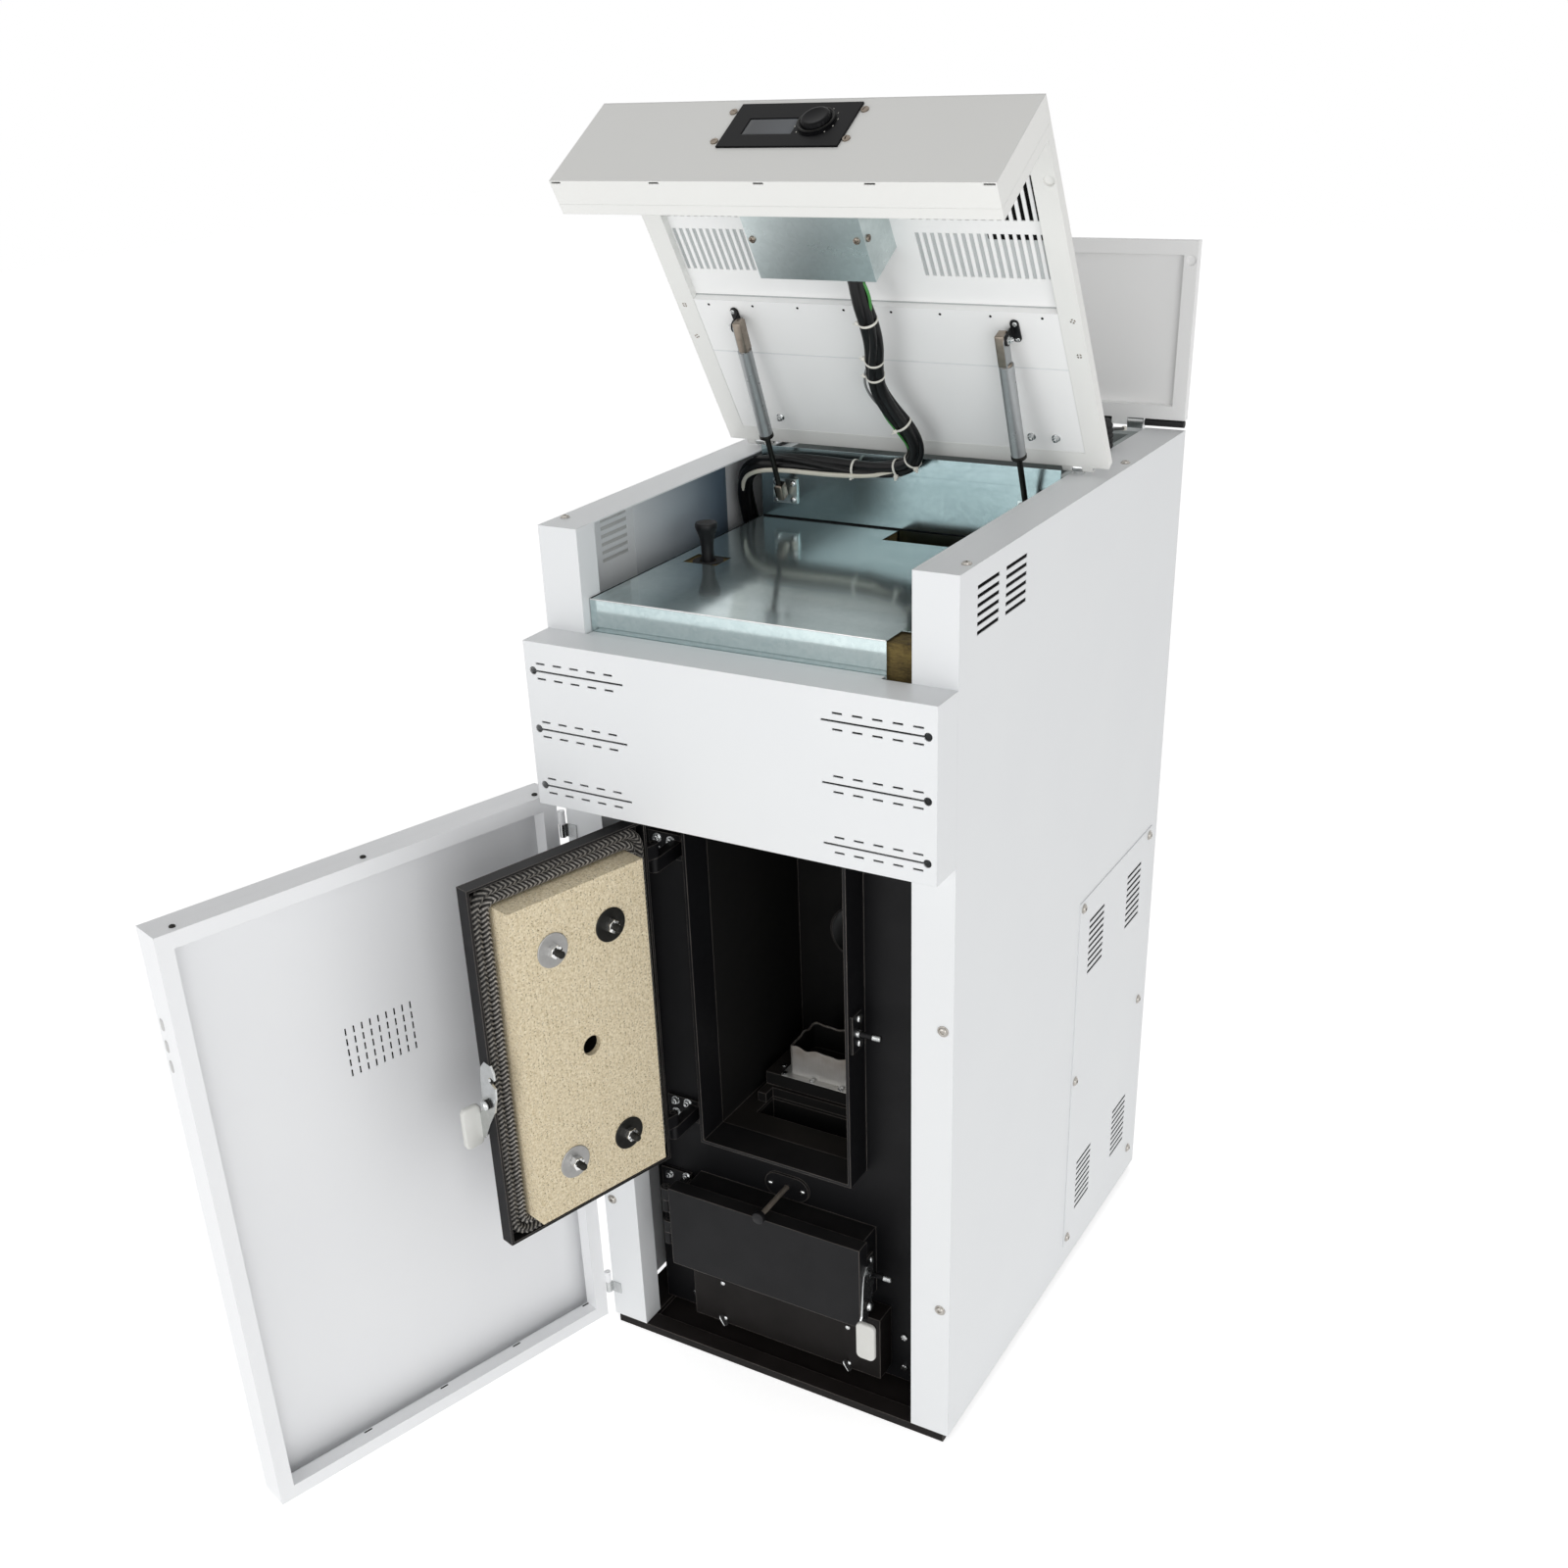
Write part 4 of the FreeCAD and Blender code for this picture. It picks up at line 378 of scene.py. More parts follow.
def add(tree: bpy.types.NodeTree, kind: str, inputs: dict[Any, Any] | None = None, **settings: Any) -> Any:
    """Adds a node of a type with its settings, fills its inputs and gives its outputs."""
    made = tree.nodes.new(kind)
    for name, value in settings.items():
        setattr(made, name, value)
    fill(tree, made, inputs or {})
    return made.outputs


@dataclass(frozen=True)
class Graph:
    """A node tree in the making and the place on the piece; each method adds a step and gives its output."""
    tree: bpy.types.NodeTree
    place: Any = None

    def noise(self, size: float, detail: float, place: Any = None, distortion: float = 0.0) -> Any:
        """Noise with a grain of this size in millimetres."""
        spot = self.place if place is None else place
        return add(self.tree, "ShaderNodeTexNoise", {"Vector": spot, "Scale": per_metre(size), "Detail": detail,
                                                     "Distortion": distortion})[0]

    def cells(self, size: float) -> tuple[Any, Any]:
        """A tone for each cell of this size in millimetres, and the distance to the cell's middle."""
        made = add(self.tree, "ShaderNodeTexVoronoi", {"Vector": self.place, "Scale": per_metre(size)})
        return add(self.tree, "ShaderNodeSeparateColor", {"Color": made["Color"]})[0], made["Distance"]

    def stretched(self, scale: Triple) -> Any:
        """The place on the piece, drawn out along the directions whose scale is small."""
        return add(self.tree, "ShaderNodeMapping", {"Vector": self.place, "Scale": scale})[0]

    def parts(self, vector: Any = None) -> Any:
        """The three parts of a vector, or else of the place on the piece."""
        return add(self.tree, "ShaderNodeSeparateXYZ", {0: self.place if vector is None else vector})

    def sums(self, operation: str, *terms: Any) -> Any:
        """A step of arithmetic with one to three terms."""
        return add(self.tree, "ShaderNodeMath", dict(enumerate(terms)), operation=operation)[0]

    def ranged(self, value: Any, first: float, last: float, low: float = 0.0, high: float = 1.0) -> Any:
        """A value carried from one range to another and kept inside it."""
        return add(self.tree, "ShaderNodeMapRange", {"Value": value, "From Min": first, "From Max": last,
                                                     "To Min": low, "To Max": high})[0]

    def mixed(self, share: Any, one: Any, two: Any) -> Any:
        """Two colours, as hex codes or outputs, mixed by a share."""
        ends = [linear(end) if isinstance(end, str) else end for end in (one, two)]
        return add(self.tree, "ShaderNodeMix", {0: share, 6: ends[0], 7: ends[1]}, data_type="RGBA")[2]

    def softened(self, radius: float) -> Any:
        """The normal with edges rounded by a radius in millimetres."""
        return add(self.tree, "ShaderNodeBevel", {"Radius": radius / MM}, samples=BEVEL_SAMPLES)[0]


class Weave(Enum):
    """How a finish finds its place on a piece."""
    OBJECT = "Object"
    SURFACE = "UV"


Layers = tuple[Any, Any, Any]  # outputs for the colour, the share of roughness and the height


@dataclass(frozen=True)
class Finish:
    """A surface finish: its common colour and shine, and a softened edge that catches the light.

    The slot names a material slot, which nothing in this script reads, the spread how far the roughness strays
    either way, and the depth that of the relief in millimetres.
    """
    name: str
    colour: str
    shade: str
    roughness: float
    metallic: float = 0.0
    coat: float = 0.0
    edge: float = 1.2
    weave: Weave = Weave.OBJECT
    mirror: float = 0.5
    slot: str = "black_plastic"
    spread: float = 0.05
    depth: float = 0.02

    def material(self) -> bpy.types.Material:
        """The finish as a material, made at its first use."""
        made = bpy.data.materials.get(self.name)
        if made:
            return made
        made = bpy.data.materials.new(self.name)
        made.use_nodes = True
        made.diffuse_color = linear(self.colour)
        tree = made.node_tree
        graph = Graph(tree, add(tree, "ShaderNodeTexCoord")[self.weave.value])
        colour, share, height = self.paint(graph)
        shader = tree.nodes["Principled BSDF"]
        fill(tree, shader, {"Metallic": self.metallic, "Roughness": self.roughness, "Specular IOR Level": self.mirror,
                            "Coat Weight": self.coat, "Coat Roughness": COAT_ROUGHNESS})
        level = graph.ranged(share, 0, 1, self.roughness - self.spread, self.roughness + self.spread)
        fill(tree, shader, {"Base Color": colour, "Roughness": level})
        if height is not None:
            bump = add(tree, "ShaderNodeBump", {"Height": height, "Strength": 1.0, "Distance": self.depth / MM,
                                                "Normal": graph.softened(self.edge)})
            fill(tree, shader, {"Normal": bump[0]})
        return made

    def paint(self, graph: Graph) -> Layers:
        """Draws the finish's own pattern; each finish has its own."""
        raise NotImplementedError

    def toned(self, graph: Graph, share: Any) -> Any:
        """A colour that goes from the finish's colour to its shade by a share."""
        return graph.mixed(share, self.colour, self.shade)


@dataclass(frozen=True)
class PowderCoat(Finish):
    """Baked polyester powder on sheet steel: satin, with a faint orange peel and hardly any tone change."""
    slot: str = "white_paint"
    spread: float = 0.04
    depth: float = 0.012
    peel: float = 2.2
    cloud: float = 160.0

    def paint(self, graph: Graph) -> Layers:
        """Broad clouds of tone, and an orange peel drawn twice as coarse as the real 1 mm so that it shows."""
        peel = graph.noise(self.peel, detail=1)
        return self.toned(graph, graph.noise(self.cloud, detail=3)), peel, peel


@dataclass(frozen=True)
class BackCoat(Finish):
    """The thin blue-grey back coat of painted sheet, which goes to white towards the front; its darkening towards the
    rear of the well is painted shade.
    """
    slot: str = "zinc"
    spread: float = 0.06
    depth: float = 0.05
    span: Pair = (-0.235, 0.045)
    cloud: float = 60.0

    def paint(self, graph: Graph) -> Layers:
        """The coat grows along the depth over its span, in metres, as a painted shade that deepens towards the rear,
        with clouds of 60 mm in its shine.
        """
        cloud = graph.noise(self.cloud, detail=3)
        return self.toned(graph, graph.ranged(graph.parts()[1], *self.span)), cloud, cloud


@dataclass(frozen=True)
class Galvanised(Finish):
    """Hot-dip galvanised sheet: a skin-passed zinc coat with faint crystal flakes and broad cloudy patches."""
    slot: str = "zinc"
    spread: float = 0.03
    depth: float = 0.25
    flake: float = 5.0
    streak: float = 70.0
    glint: float = 0.16
    band: Pair = (0.35, 0.85)

    def paint(self, graph: Graph) -> Layers:
        """Crystal cells of about 5 mm, hardly seen, over cloudy streaks 70 mm wide and four times as long."""
        tint, _ = graph.cells(self.flake)
        streaks = graph.noise(self.streak, detail=4, place=graph.stretched((0.25, 1, 1)))
        share = graph.ranged(graph.sums("MULTIPLY_ADD", tint, self.glint, streaks), *self.band)
        return self.toned(graph, share), share, streaks


@dataclass(frozen=True)
class HeatPaint(Finish):
    """Heat-proof silicone paint on rolled plate: dull black, a little gritty, dusty on what faces up, with pale edges
    that are partly wear and partly a painted highlight.
    """
    spread: float = 0.1
    depth: float = 0.05
    dust: str = "#3B3937"
    bare_and_lit: str = "#8D8781"
    worn_and_lit_edge: float = 2.2
    grit: float = 1.4
    patch: float = 55.0
    lying: Pair = (0.4, 1.0)
    rim: Pair = (0.985, 0.86)

    def paint(self, graph: Graph) -> Layers:
        """Grit drawn at 1.4 mm so that it shows, dust by how far a face looks up, and edges lightened over 2.2 mm,
        partly as wear and partly as a painted highlight.
        """
        patch = graph.noise(self.patch, detail=5)
        normal = add(graph.tree, "ShaderNodeNewGeometry")["Normal"]
        dusty = graph.sums("MULTIPLY", graph.ranged(graph.parts(normal)[2], *self.lying), patch)
        dusted = graph.mixed(dusty, self.toned(graph, patch), self.dust)
        # painted highlight and wear: at edges, where the softened normal leaves the true one, the colour goes towards
        # a pale grey
        flat = add(graph.tree, "ShaderNodeVectorMath", {0: graph.softened(self.worn_and_lit_edge), 1: normal},
                   operation="DOT_PRODUCT")["Value"]
        worn_and_lit_edge = graph.sums("MULTIPLY", graph.ranged(flat, *self.rim), patch)
        return graph.mixed(worn_and_lit_edge, dusted, self.bare_and_lit), patch, graph.noise(self.grit, detail=2)


@dataclass(frozen=True)
class HeatedSteel(Finish):
    """Thin stainless sheet that has seen fire: brushed grey with straw and brown tempering towards the heat."""
    slot: str = "pot_steel"
    spread: float = 0.1
    depth: float = 0.1
    tint: str = "#7A6650"
    span: Pair = (0.433, 0.487)
    brush: float = 0.8
    blotch: float = 20.0

    def paint(self, graph: Graph) -> Layers:
        """Upright brush lines 0.8 mm apart, and a tint that grows with height and with blotches of 20 mm."""
        lines = graph.noise(self.brush, detail=2, place=graph.stretched((1, 1, 0.04)))
        blotch = graph.noise(self.blotch, detail=4)
        heat = graph.sums("MULTIPLY", graph.ranged(graph.parts()[2], *self.span), blotch)
        return graph.mixed(heat, self.toned(graph, lines), self.tint), lines, blotch


@dataclass(frozen=True)
class PlatedSteel(Finish):
    """Zinc-plated steel: bright, a little cloudy, with passivation that drifts between blue and straw."""
    metallic: float = 1.0
    edge: float = 0.4
    slot: str = "bright_steel"
    spread: float = 0.08
    cloud: float = 9.0

    def paint(self, graph: Graph) -> Layers:
        """Clouds of 9 mm in tone and shine."""
        cloud = graph.noise(self.cloud, detail=4)
        return self.toned(graph, cloud), cloud, cloud


@dataclass(frozen=True)
class PressedBoard(Finish):
    """Pressed vermiculite fire board: sandy, with dark and pale flakes of 1 to 3 mm and a crumbly face."""
    spread: float = 0.06
    depth: float = 0.35
    flake: float = 2.1
    grain: float = 3.0
    dark: str = "#6A5836"
    sandy: Pair = (0.3, 0.7)
    chosen: Pair = (0.66, 0.9)
    near: Pair = (0.5, 0.2)
    cover: float = 0.9

    def paint(self, graph: Graph) -> Layers:
        """Cells of 2.1 mm give each flake its own tone; one in four is dark; pits follow the cells' middles."""
        tint, middle = graph.cells(self.flake)
        grain = graph.noise(self.grain, detail=4)
        spot = graph.sums("MULTIPLY", graph.ranged(tint, *self.chosen), graph.ranged(middle, *self.near))
        ground = self.toned(graph, graph.ranged(grain, *self.sandy))
        colour = graph.mixed(graph.sums("MULTIPLY", spot, self.cover), ground, self.dark)
        return colour, grain, graph.sums("MULTIPLY_ADD", spot, -1.0, grain)


@dataclass(frozen=True)
class BraidedRope(Finish):
    """Braided glass rope: dark yarns laid both ways in chevrons, paler on their crests as a painted highlight and
    darker in the hollows as painted shade.
    """
    slot: str = "rope"
    depth: float = 0.9
    yarns: int = 205
    starts: float = 2.4
    fuzz: float = 3.0
    lit_crest: Pair = (-0.3, 0.7)
    fray: Pair = (0.25, 0.6)

    def paint(self, graph: Graph) -> Layers:
        """A sine of the length in yarns and of the way round folded into chevrons, under fuzz of 3 mm; its crests
        take the pale shade as a painted highlight and its troughs the dark colour as painted shade.
        """
        length, way = graph.parts()[:2]
        half = graph.sums("FRACT", graph.sums("MULTIPLY", way, 2.0))
        fold = graph.sums("ABSOLUTE", graph.sums("SUBTRACT", half, 0.5))
        lean = graph.sums("MULTIPLY", fold, self.starts * TURN)
        top = graph.sums("SINE", graph.sums("MULTIPLY_ADD", length, self.yarns * TURN, lean))
        fuzz = graph.noise(self.fuzz, detail=5, place=add(graph.tree, "ShaderNodeTexCoord")["Object"])
        share = graph.sums("MULTIPLY", graph.ranged(top, *self.lit_crest), graph.ranged(fuzz, *self.fray))
        return self.toned(graph, share), fuzz, share


@dataclass(frozen=True)
class MineralWool(Finish):
    """Bonded mineral wool: matted brown fibres in layers, dull and soft; its dark olive tones are partly painted
    shade, as it lies under the cover.
    """
    slot: str = "wool"
    spread: float = 0.03
    depth: float = 1.2
    fibre: float = 1.6
    clump: float = 18.0
    band: Pair = (0.6, 1.35)

    def paint(self, graph: Graph) -> Layers:
        """Fibre lines drawn at 1.6 mm and five times as long, over clumps of 18 mm."""
        fibres = graph.noise(self.fibre, detail=6, place=graph.stretched((0.2, 0.5, 1)), distortion=1.2)
        clump = graph.noise(self.clump, detail=4)
        return self.toned(graph, graph.ranged(graph.sums("ADD", fibres, clump), *self.band)), clump, fibres


@dataclass(frozen=True)
class Moulded(Finish):
    """Moulded plastic or rubber: a fine spark-eroded grain and a slight drift in tone."""
    spread: float = 0.06
    grain: float = 1.0
    cloud: float = 25.0

    def paint(self, graph: Graph) -> Layers:
        """Grain drawn at 1 mm, coarser than a mould's, so that it shows; clouds of 25 mm in tone."""
        grain = graph.noise(self.grain, detail=2)
        return self.toned(graph, graph.noise(self.cloud, detail=3)), grain, grain


@dataclass(frozen=True)
class TwoColourWire(Finish):
    """Extruded PVC wire sheath in two colours, one a stripe that runs along it."""
    slot: str = "pad"
    stripe: Pair = (0.68, 0.72)
    smears: float = 60.0

    def paint(self, graph: Graph) -> Layers:
        """The stripe covers three tenths of the way round, from the wire's own places, with 60 smears along."""
        stripe = graph.ranged(graph.parts()[1], *self.stripe)
        return self.toned(graph, stripe), graph.noise(MM / self.smears, detail=2), None


@dataclass(frozen=True)
class Screen(Finish):
    """A switched-off liquid crystal screen behind acrylic: grey-blue with faint rows under a clear gloss, and a
    painted reflection that lightens it towards one side.
    """
    spread: float = 0.02
    row: float = 0.9
    wave: float = 6.3
    span: Pair = (-0.062, 0.006)
    glow: float = 0.15

    def paint(self, graph: Graph) -> Layers:
        """Rows 0.9 mm apart across the glass, under a painted reflection: a tone that lightens towards one side."""
        rows = add(graph.tree, "ShaderNodeTexWave", {"Vector": graph.place, "Scale": per_metre(self.row) / self.wave},
                   bands_direction="X")[0]
        # painted reflection: the tone lightens across the screen towards +X
        fade = graph.ranged(graph.parts()[0], *self.span)
        return self.toned(graph, graph.sums("MULTIPLY_ADD", rows, self.glow, fade)), rows, None


WHITE = PowderCoat("powder_coated_steel", "#ECEEEF", "#E8EAEC", 0.38)
# painted light: a lighter copy of the white powder coat, for the lid's inner panel and the hopper lid, which lie in
# shade under the open lid
LID_WHITE = PowderCoat("powder_coat_painted_lighter_for_lid", "#FAFAF9", "#F5F5F5", 0.4)
# painted light: a lighter copy of the white powder coat, for the open front door
DOOR_WHITE = PowderCoat("powder_coat_painted_lighter_for_door", "#F7F8F9", "#F4F5F7", 0.38)
FASCIA_WHITE = PowderCoat("warm_powder_coated_steel", "#EFEFEC", "#EBEBE8", 0.38)
ZINC = Galvanised("galvanised_sheet", "#CEDBDB", "#B1C2C4", 0.11, metallic=0.86)
# painted shade: a darker copy of the galvanised sheet, for the bulkhead and its lip, which would otherwise reflect
# too much light
WALL_ZINC = Galvanised("galvanised_sheet_painted_darker", "#9CABAD", "#859699", 0.2, metallic=1.0, edge=0.4)
BOX_ZINC = Galvanised("galvanised_box_sheet", "#D2DCDC", "#B9C4C4", 0.3, metallic=1.0, edge=0.4)
DULL_ZINC = Galvanised("weathered_zinc_sheet", "#A9AFAF", "#999F9F", 0.55, metallic=0.7)
BLACK = HeatPaint("heat_proof_black_paint", "#151517", "#0E0E10", 0.5, mirror=0.17, dust="#262525")
BROWN_BLACK = HeatPaint("heat_proof_brown_black_paint", "#1A1716", "#110F0E", 0.55, mirror=0.14, dust="#282423")
SOOT = HeatPaint("sooted_plate", "#171615", "#0E0E0E", 0.7, mirror=0.2, dust="#2B2724")
POT = HeatedSteel("heated_stainless_sheet", "#DAD9D6", "#C2C1BE", 0.42, metallic=0.6)
PLATED = PlatedSteel("zinc_plated_steel", "#D8DADB", "#B9BBBA", 0.24, edge=0.5)
WASHER = PlatedSteel("dull_zinc_washer", "#B6B5B3", "#A1A09F", 0.45, metallic=0.75)
ROD_STEEL = PlatedSteel("oiled_steel_rod", "#9A9085", "#7D746B", 0.36, metallic=0.35)
DARK_STEEL = PlatedSteel("blackened_steel", "#3A3936", "#242423", 0.4, metallic=0.9, edge=0.5)
WORN_STEEL = PlatedSteel("worn_brown_steel", "#A0968A", "#7A7067", 0.34, edge=0.5)
ENAMEL = PlatedSteel("grey_enamelled_tube", "#A7AAAB", "#96999B", 0.3, metallic=0.55)
BOARD = PressedBoard("pressed_vermiculite", "#F6EACF", "#CFBD97", 0.9)
# the ropes' pale second colour lies on the yarns' crests as a painted highlight; the dark first one fills the hollows
# as painted shade
ROPE = BraidedRope("braided_glass_rope", "#282624", "#BAB6B0", 0.9, weave=Weave.SURFACE, edge=0.2)
# the outer strand's rope, darker than the inner one's
DARK_ROPE = BraidedRope("darker_glass_rope", "#1B1A19", "#96928C", 0.9, weave=Weave.SURFACE, edge=0.2)
# dark olive wool, partly its own colour and partly painted shade under the cover
WOOL = MineralWool("mineral_wool", "#2E2514", "#83703F", 0.95, edge=0.2)
CREAM = Moulded("moulded_cream_plastic", "#DCDCD8", "#D2D2CD", 0.32, coat=0.2, slot="pad")
BLACK_PLASTIC = Moulded("moulded_black_plastic", "#161618", "#101012", 0.42, mirror=0.25)
GLOSS_BLACK = Moulded("gloss_black_plastic", "#0D0D0F", "#09090B", 0.32, mirror=0.09, depth=0.006)
RUBBER = Moulded("moulded_rubber", "#19191A", "#0F0F10", 0.72, depth=0.05, slot="rubber")
SLEEVE = Moulded("pvc_sleeve", "#121213", "#0B0B0C", 0.34, mirror=0.3, depth=0.03, slot="loom")
NYLON = Moulded("natural_nylon", "#ECEAE2", "#E0DDD2", 0.4, slot="pad")
CREAM_WIRE = Moulded("cream_pvc_sheath", "#E3DFD2", "#D6D1C1", 0.45, slot="pad")
GREY_WIRE = Moulded("grey_pvc_sheath", "#8B8C8C", "#7A7B7C", 0.45, slot="pad")
EARTH_WIRE = TwoColourWire("earth_wire_sheath", "#3F8B3E", "#D9C23C", 0.42, weave=Weave.SURFACE)
GLASS = Screen("liquid_crystal_screen", "#2C2F33", "#4A4F55", 0.2, mirror=0.3, coat=0.2)
# painted shade: a grey for vent slots that show a white sheet in shade, and for the shadow line at the lid's step
SHADE_GREY = Moulded("painted_shade_grey", "#C4C8C8", "#B6BABB", 0.9, mirror=0.1)
# painted shade: a pale grey for the left louvres' slots and for the oval dimples on the door's edge
PALE_SHADE_GREY = Moulded("painted_pale_shade_grey", "#CFCFCE", "#C4C4C3", 0.5)
# painted shade: near black, for the cover's dark joints and for sheets, dots and a sleeve put in slots and holes that
# lie in shade
HOLE = Moulded("shadowed_hole", "#0B0B0C", "#070708", 0.9, mirror=0.1)
SCREW_STEEL = PlatedSteel("dull_screw_steel", "#C2BFBA", "#9F9A93", 0.26)
NUT_STEEL = PlatedSteel("bright_nut_steel", "#F1F1F0", "#CFD0D0", 0.18, metallic=0.95)
# painted shade: a white that turns blue-grey and darker towards the rear of the well, on the well's liners
BACK_COAT = BackCoat("back_coat_and_painted_shade", "#ECEEEF", "#74889A", 0.32)


def fit(name: str, surface: Surface, finish: Finish, body: str = "cabinet", instead: str = "",
        crease: float = CREASE) -> bpy.types.Object:
    """Makes a piece from a surface, its doubles merged and its faces turned outwards, swung with its door or lid.

    Args:
        name: of the piece.
        surface: its points, drawn shut.
        finish: what it is finished in.
        body: the body that it rides on, or an empty name where it bends between bodies.
        instead: a CAD node that it stands for.
        crease: the angle in degrees from which an edge stays sharp.
    Returns:
        The object, at the origin.
    """
    points = SWINGS[body].turn(surface.points) if body in SWINGS else surface.points
    mesh = bpy.data.meshes.new(name)
    mesh.from_pydata((points / MM).tolist(), [], surface.faces.tolist())
    mesh.uv_layers.new(name="UVMap").data.foreach_set("uv", surface.uv[surface.faces.ravel()].ravel())
    work = bmesh.new()
    work.from_mesh(mesh)
    bmesh.ops.remove_doubles(work, verts=work.verts, dist=WELD)
    bmesh.ops.dissolve_degenerate(work, edges=work.edges, dist=WELD / 2)
    bmesh.ops.recalc_face_normals(work, faces=work.faces)
    work.to_mesh(mesh)
    work.free()
    mesh.shade_smooth()
    mesh.set_sharp_from_angle(angle=math.radians(crease))
    mesh.materials.append(finish.material())
    piece = placed(name, mesh)
    if body:
        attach(piece, body)
    if instead:
        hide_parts(instead)
    log.info("%s on %s: %d faces", name, body or "two bodies", len(mesh.polygons))
    return piece


# ---------------------------------------------------------------- fasteners


class Head(Enum):
    """Fasteners, each a profile in head radii: rows of radius, height and hexagon share, from the seat up."""
    BUTTON = ((1, 0), (1, 0.12), (0.96, 0.17), (0.8, 0.17), (0.79, 0.24), (0.73, 0.38), (0.6, 0.47),
              (0.44, 0.52), (0.37, 0.52), (0.35, 0.5, 1), (0.33, 0.28, 1), (0, 0.27, 1))
    DOME = ((1, 0), (1, 0.14), (0.95, 0.34), (0.8, 0.52), (0.55, 0.65), (0.28, 0.71), (0, 0.73))
    BOLT = ((1, 0, 1), (1, 0.55, 1), (0.94, 0.64, 0.6), (0.84, 0.68), (0, 0.68))
    NUT = ((1.3, 0), (1.3, 0.14), (1.26, 0.18), (0.98, 0.18, 1), (0.98, 0.95, 1), (0.92, 1.03, 0.5), (0.8, 1.06),
           (0.5, 1.06), (0.5, 1.5), (0.42, 1.62), (0, 1.62))
    DOT = ((1, 0), (1, 0.1), (0.9, 0.16), (0, 0.16))


class Drive(Enum):
    """Recesses for a screwdriver, by the number of their bars."""
    SLOT = 1
    CROSS = 2


Screws = tuple[Head, float, Spots, Triple]  # kind, radius, seats and the direction that they point in
Slab = tuple[Triple, float, float, float, int]  # size, thickness, edge radius, crown and points on a corner
Plate = tuple[Triple, float, float, Spots, Triple]  # size, thickness, edge radius, spots and the upper face's way


def fasteners(*sets: Screws) -> Surface:
    """Sets of turned fasteners as one surface, each fastener of a set a little further round."""
    made = []
    for head, radius, spots, axis in sets:
        rows = [(0.0, 0.0)] + [(row[0] * radius, row[1] * radius) + row[2:] for row in head.value]
        made.append(repeated(turned(rows), spots, axis, FASTENER_STEP))
    return join(made)


def plates(*sets: Plate) -> Surface:
    """Sets of round-cornered plates as one surface."""
    return join([repeated(slab(size, thick, edge), spots, axis) for size, thick, edge, spots, axis in sets])


def recessed(radius: float, spots: Spots, axis: Triple, drive: Drive = Drive.CROSS) -> Surface:
    """Screw heads with a driver recess: a flat dome, cut down near the middle line of each bar.

    The dome's height is a circle's over the radius; the cut deepens over six hundredths of the radius at the
    bars' edges and fades out at three quarters of it. Each head is a little further round.

    Args:
        radius: of the heads.
        spots: places of the seats.
        axis: the direction that the heads point in.
        drive: the shape of the recess.
    Returns:
        All of them as one surface.
    """
    half_bar, bar_edge, cut_end, cut_fade = 0.17, 0.06, 0.76, 0.08
    rim, dome, round_share, sunk = 0.2, 0.42, 0.95, 0.34
    share = np.concatenate(([0, 1], np.linspace(1, 0, 16)))[:, None]
    angle = np.linspace(0, TURN, 49)[None, :]
    x, y = radius * share * np.cos(angle), radius * share * np.sin(angle)
    near = np.minimum(np.abs(x), np.abs(y)) if drive is Drive.CROSS else np.abs(y)
    cut = np.clip((half_bar * radius - near) / (bar_edge * radius), 0, 1)
    cut *= np.clip((cut_end - share) / cut_fade, 0, 1)
    rise = radius * (rim + dome * np.sqrt(1 - (round_share * share) ** 2)) - sunk * radius * cut
    rise[:2] = 0
    return repeated(sheet(np.stack((x, y, rise), axis=-1)), spots, axis, RECESS_STEP)


# ---------------------------------------------------------------- sub-assemblies

Dressing = tuple[tuple[Finish, str], ...]


@dataclass
class Assembly:
    """A sub-assembly; its nodes are CAD nodes, listed by the finish that they take."""
    nodes: Dressing = ()

    def dress(self) -> None:
        """Gives the CAD nodes their finishes through their material slots."""
        for finish, names in self.nodes:
            for name in names.split():
                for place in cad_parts[name].material_slots:
                    place.material = finish.material()


@dataclass
class Cabinet(Assembly):
    """The white sheet cabinet on its black plinth."""
    nodes: Dressing = (
        (WHITE, "left_side_panel right_side_panel rear_panel front_panel access_cover"),
        (BROWN_BLACK, "base_plinth"), (PLATED, "front_door_hinges lid_hinges"))
    heads: tuple[Screws, ...] = (
        (Head.BUTTON, 6.6, tuple((x, y, 1326) for x in (288, -288) for y in (44, 573)), UP),
        (Head.BUTTON, 8.0, tuple((x, 0, z) for x in (285, -285) for z in (249, 715)), FORWARD),
        (Head.BUTTON, 8.0, tuple((301.5, y, z) for y in (464, 755) for z in (66, 375, 684)), RIGHT))
    rear_screw: float = 4.5
    rear_screws: Spots = tuple((x, 795, z) for x in (-284, 284) for z in (70, 380, 690, 1000, 1290))
    block_screw: float = 4.0
    block_screws: Spots = ((-250, 508, 1341), (250, 508, 1341))
    # sheets behind the louvres' slots, near black or pale grey: painted shade
    shade_sheets: tuple[tuple[str, Finish, Bar], ...] = (
        ("vent_shade_sheet", HOLE, ((298.4, 42, 1230), (299.0, 206, 1306), 0.2)),
        ("left_vent_shade_sheet", PALE_SHADE_GREY, ((-299.6, 42, 1230), (-299.0, 206, 1306), 0.2)),
        ("cover_vent_shade_sheet", HOLE, ((300.2, 480, 96), (300.6, 740, 660), 0.1)))

    def build(self) -> None:
        """Dresses the cabinet, screws it together and hangs near-black and pale grey sheets behind its louvres as
        painted shade.
        """
        self.dress()
        fit("cabinet_screw_heads", fasteners(*self.heads), SCREW_STEEL, instead="cabinet_screws")
        fit("rear_screw_heads", recessed(self.rear_screw, self.rear_screws, BACK), PLATED)
        fit("hinge_block_screws", recessed(self.block_screw, self.block_screws, UP), PLATED)
        for name, finish, shade_sheet in self.shade_sheets:
            fit(name, bars(shade_sheet), finish)


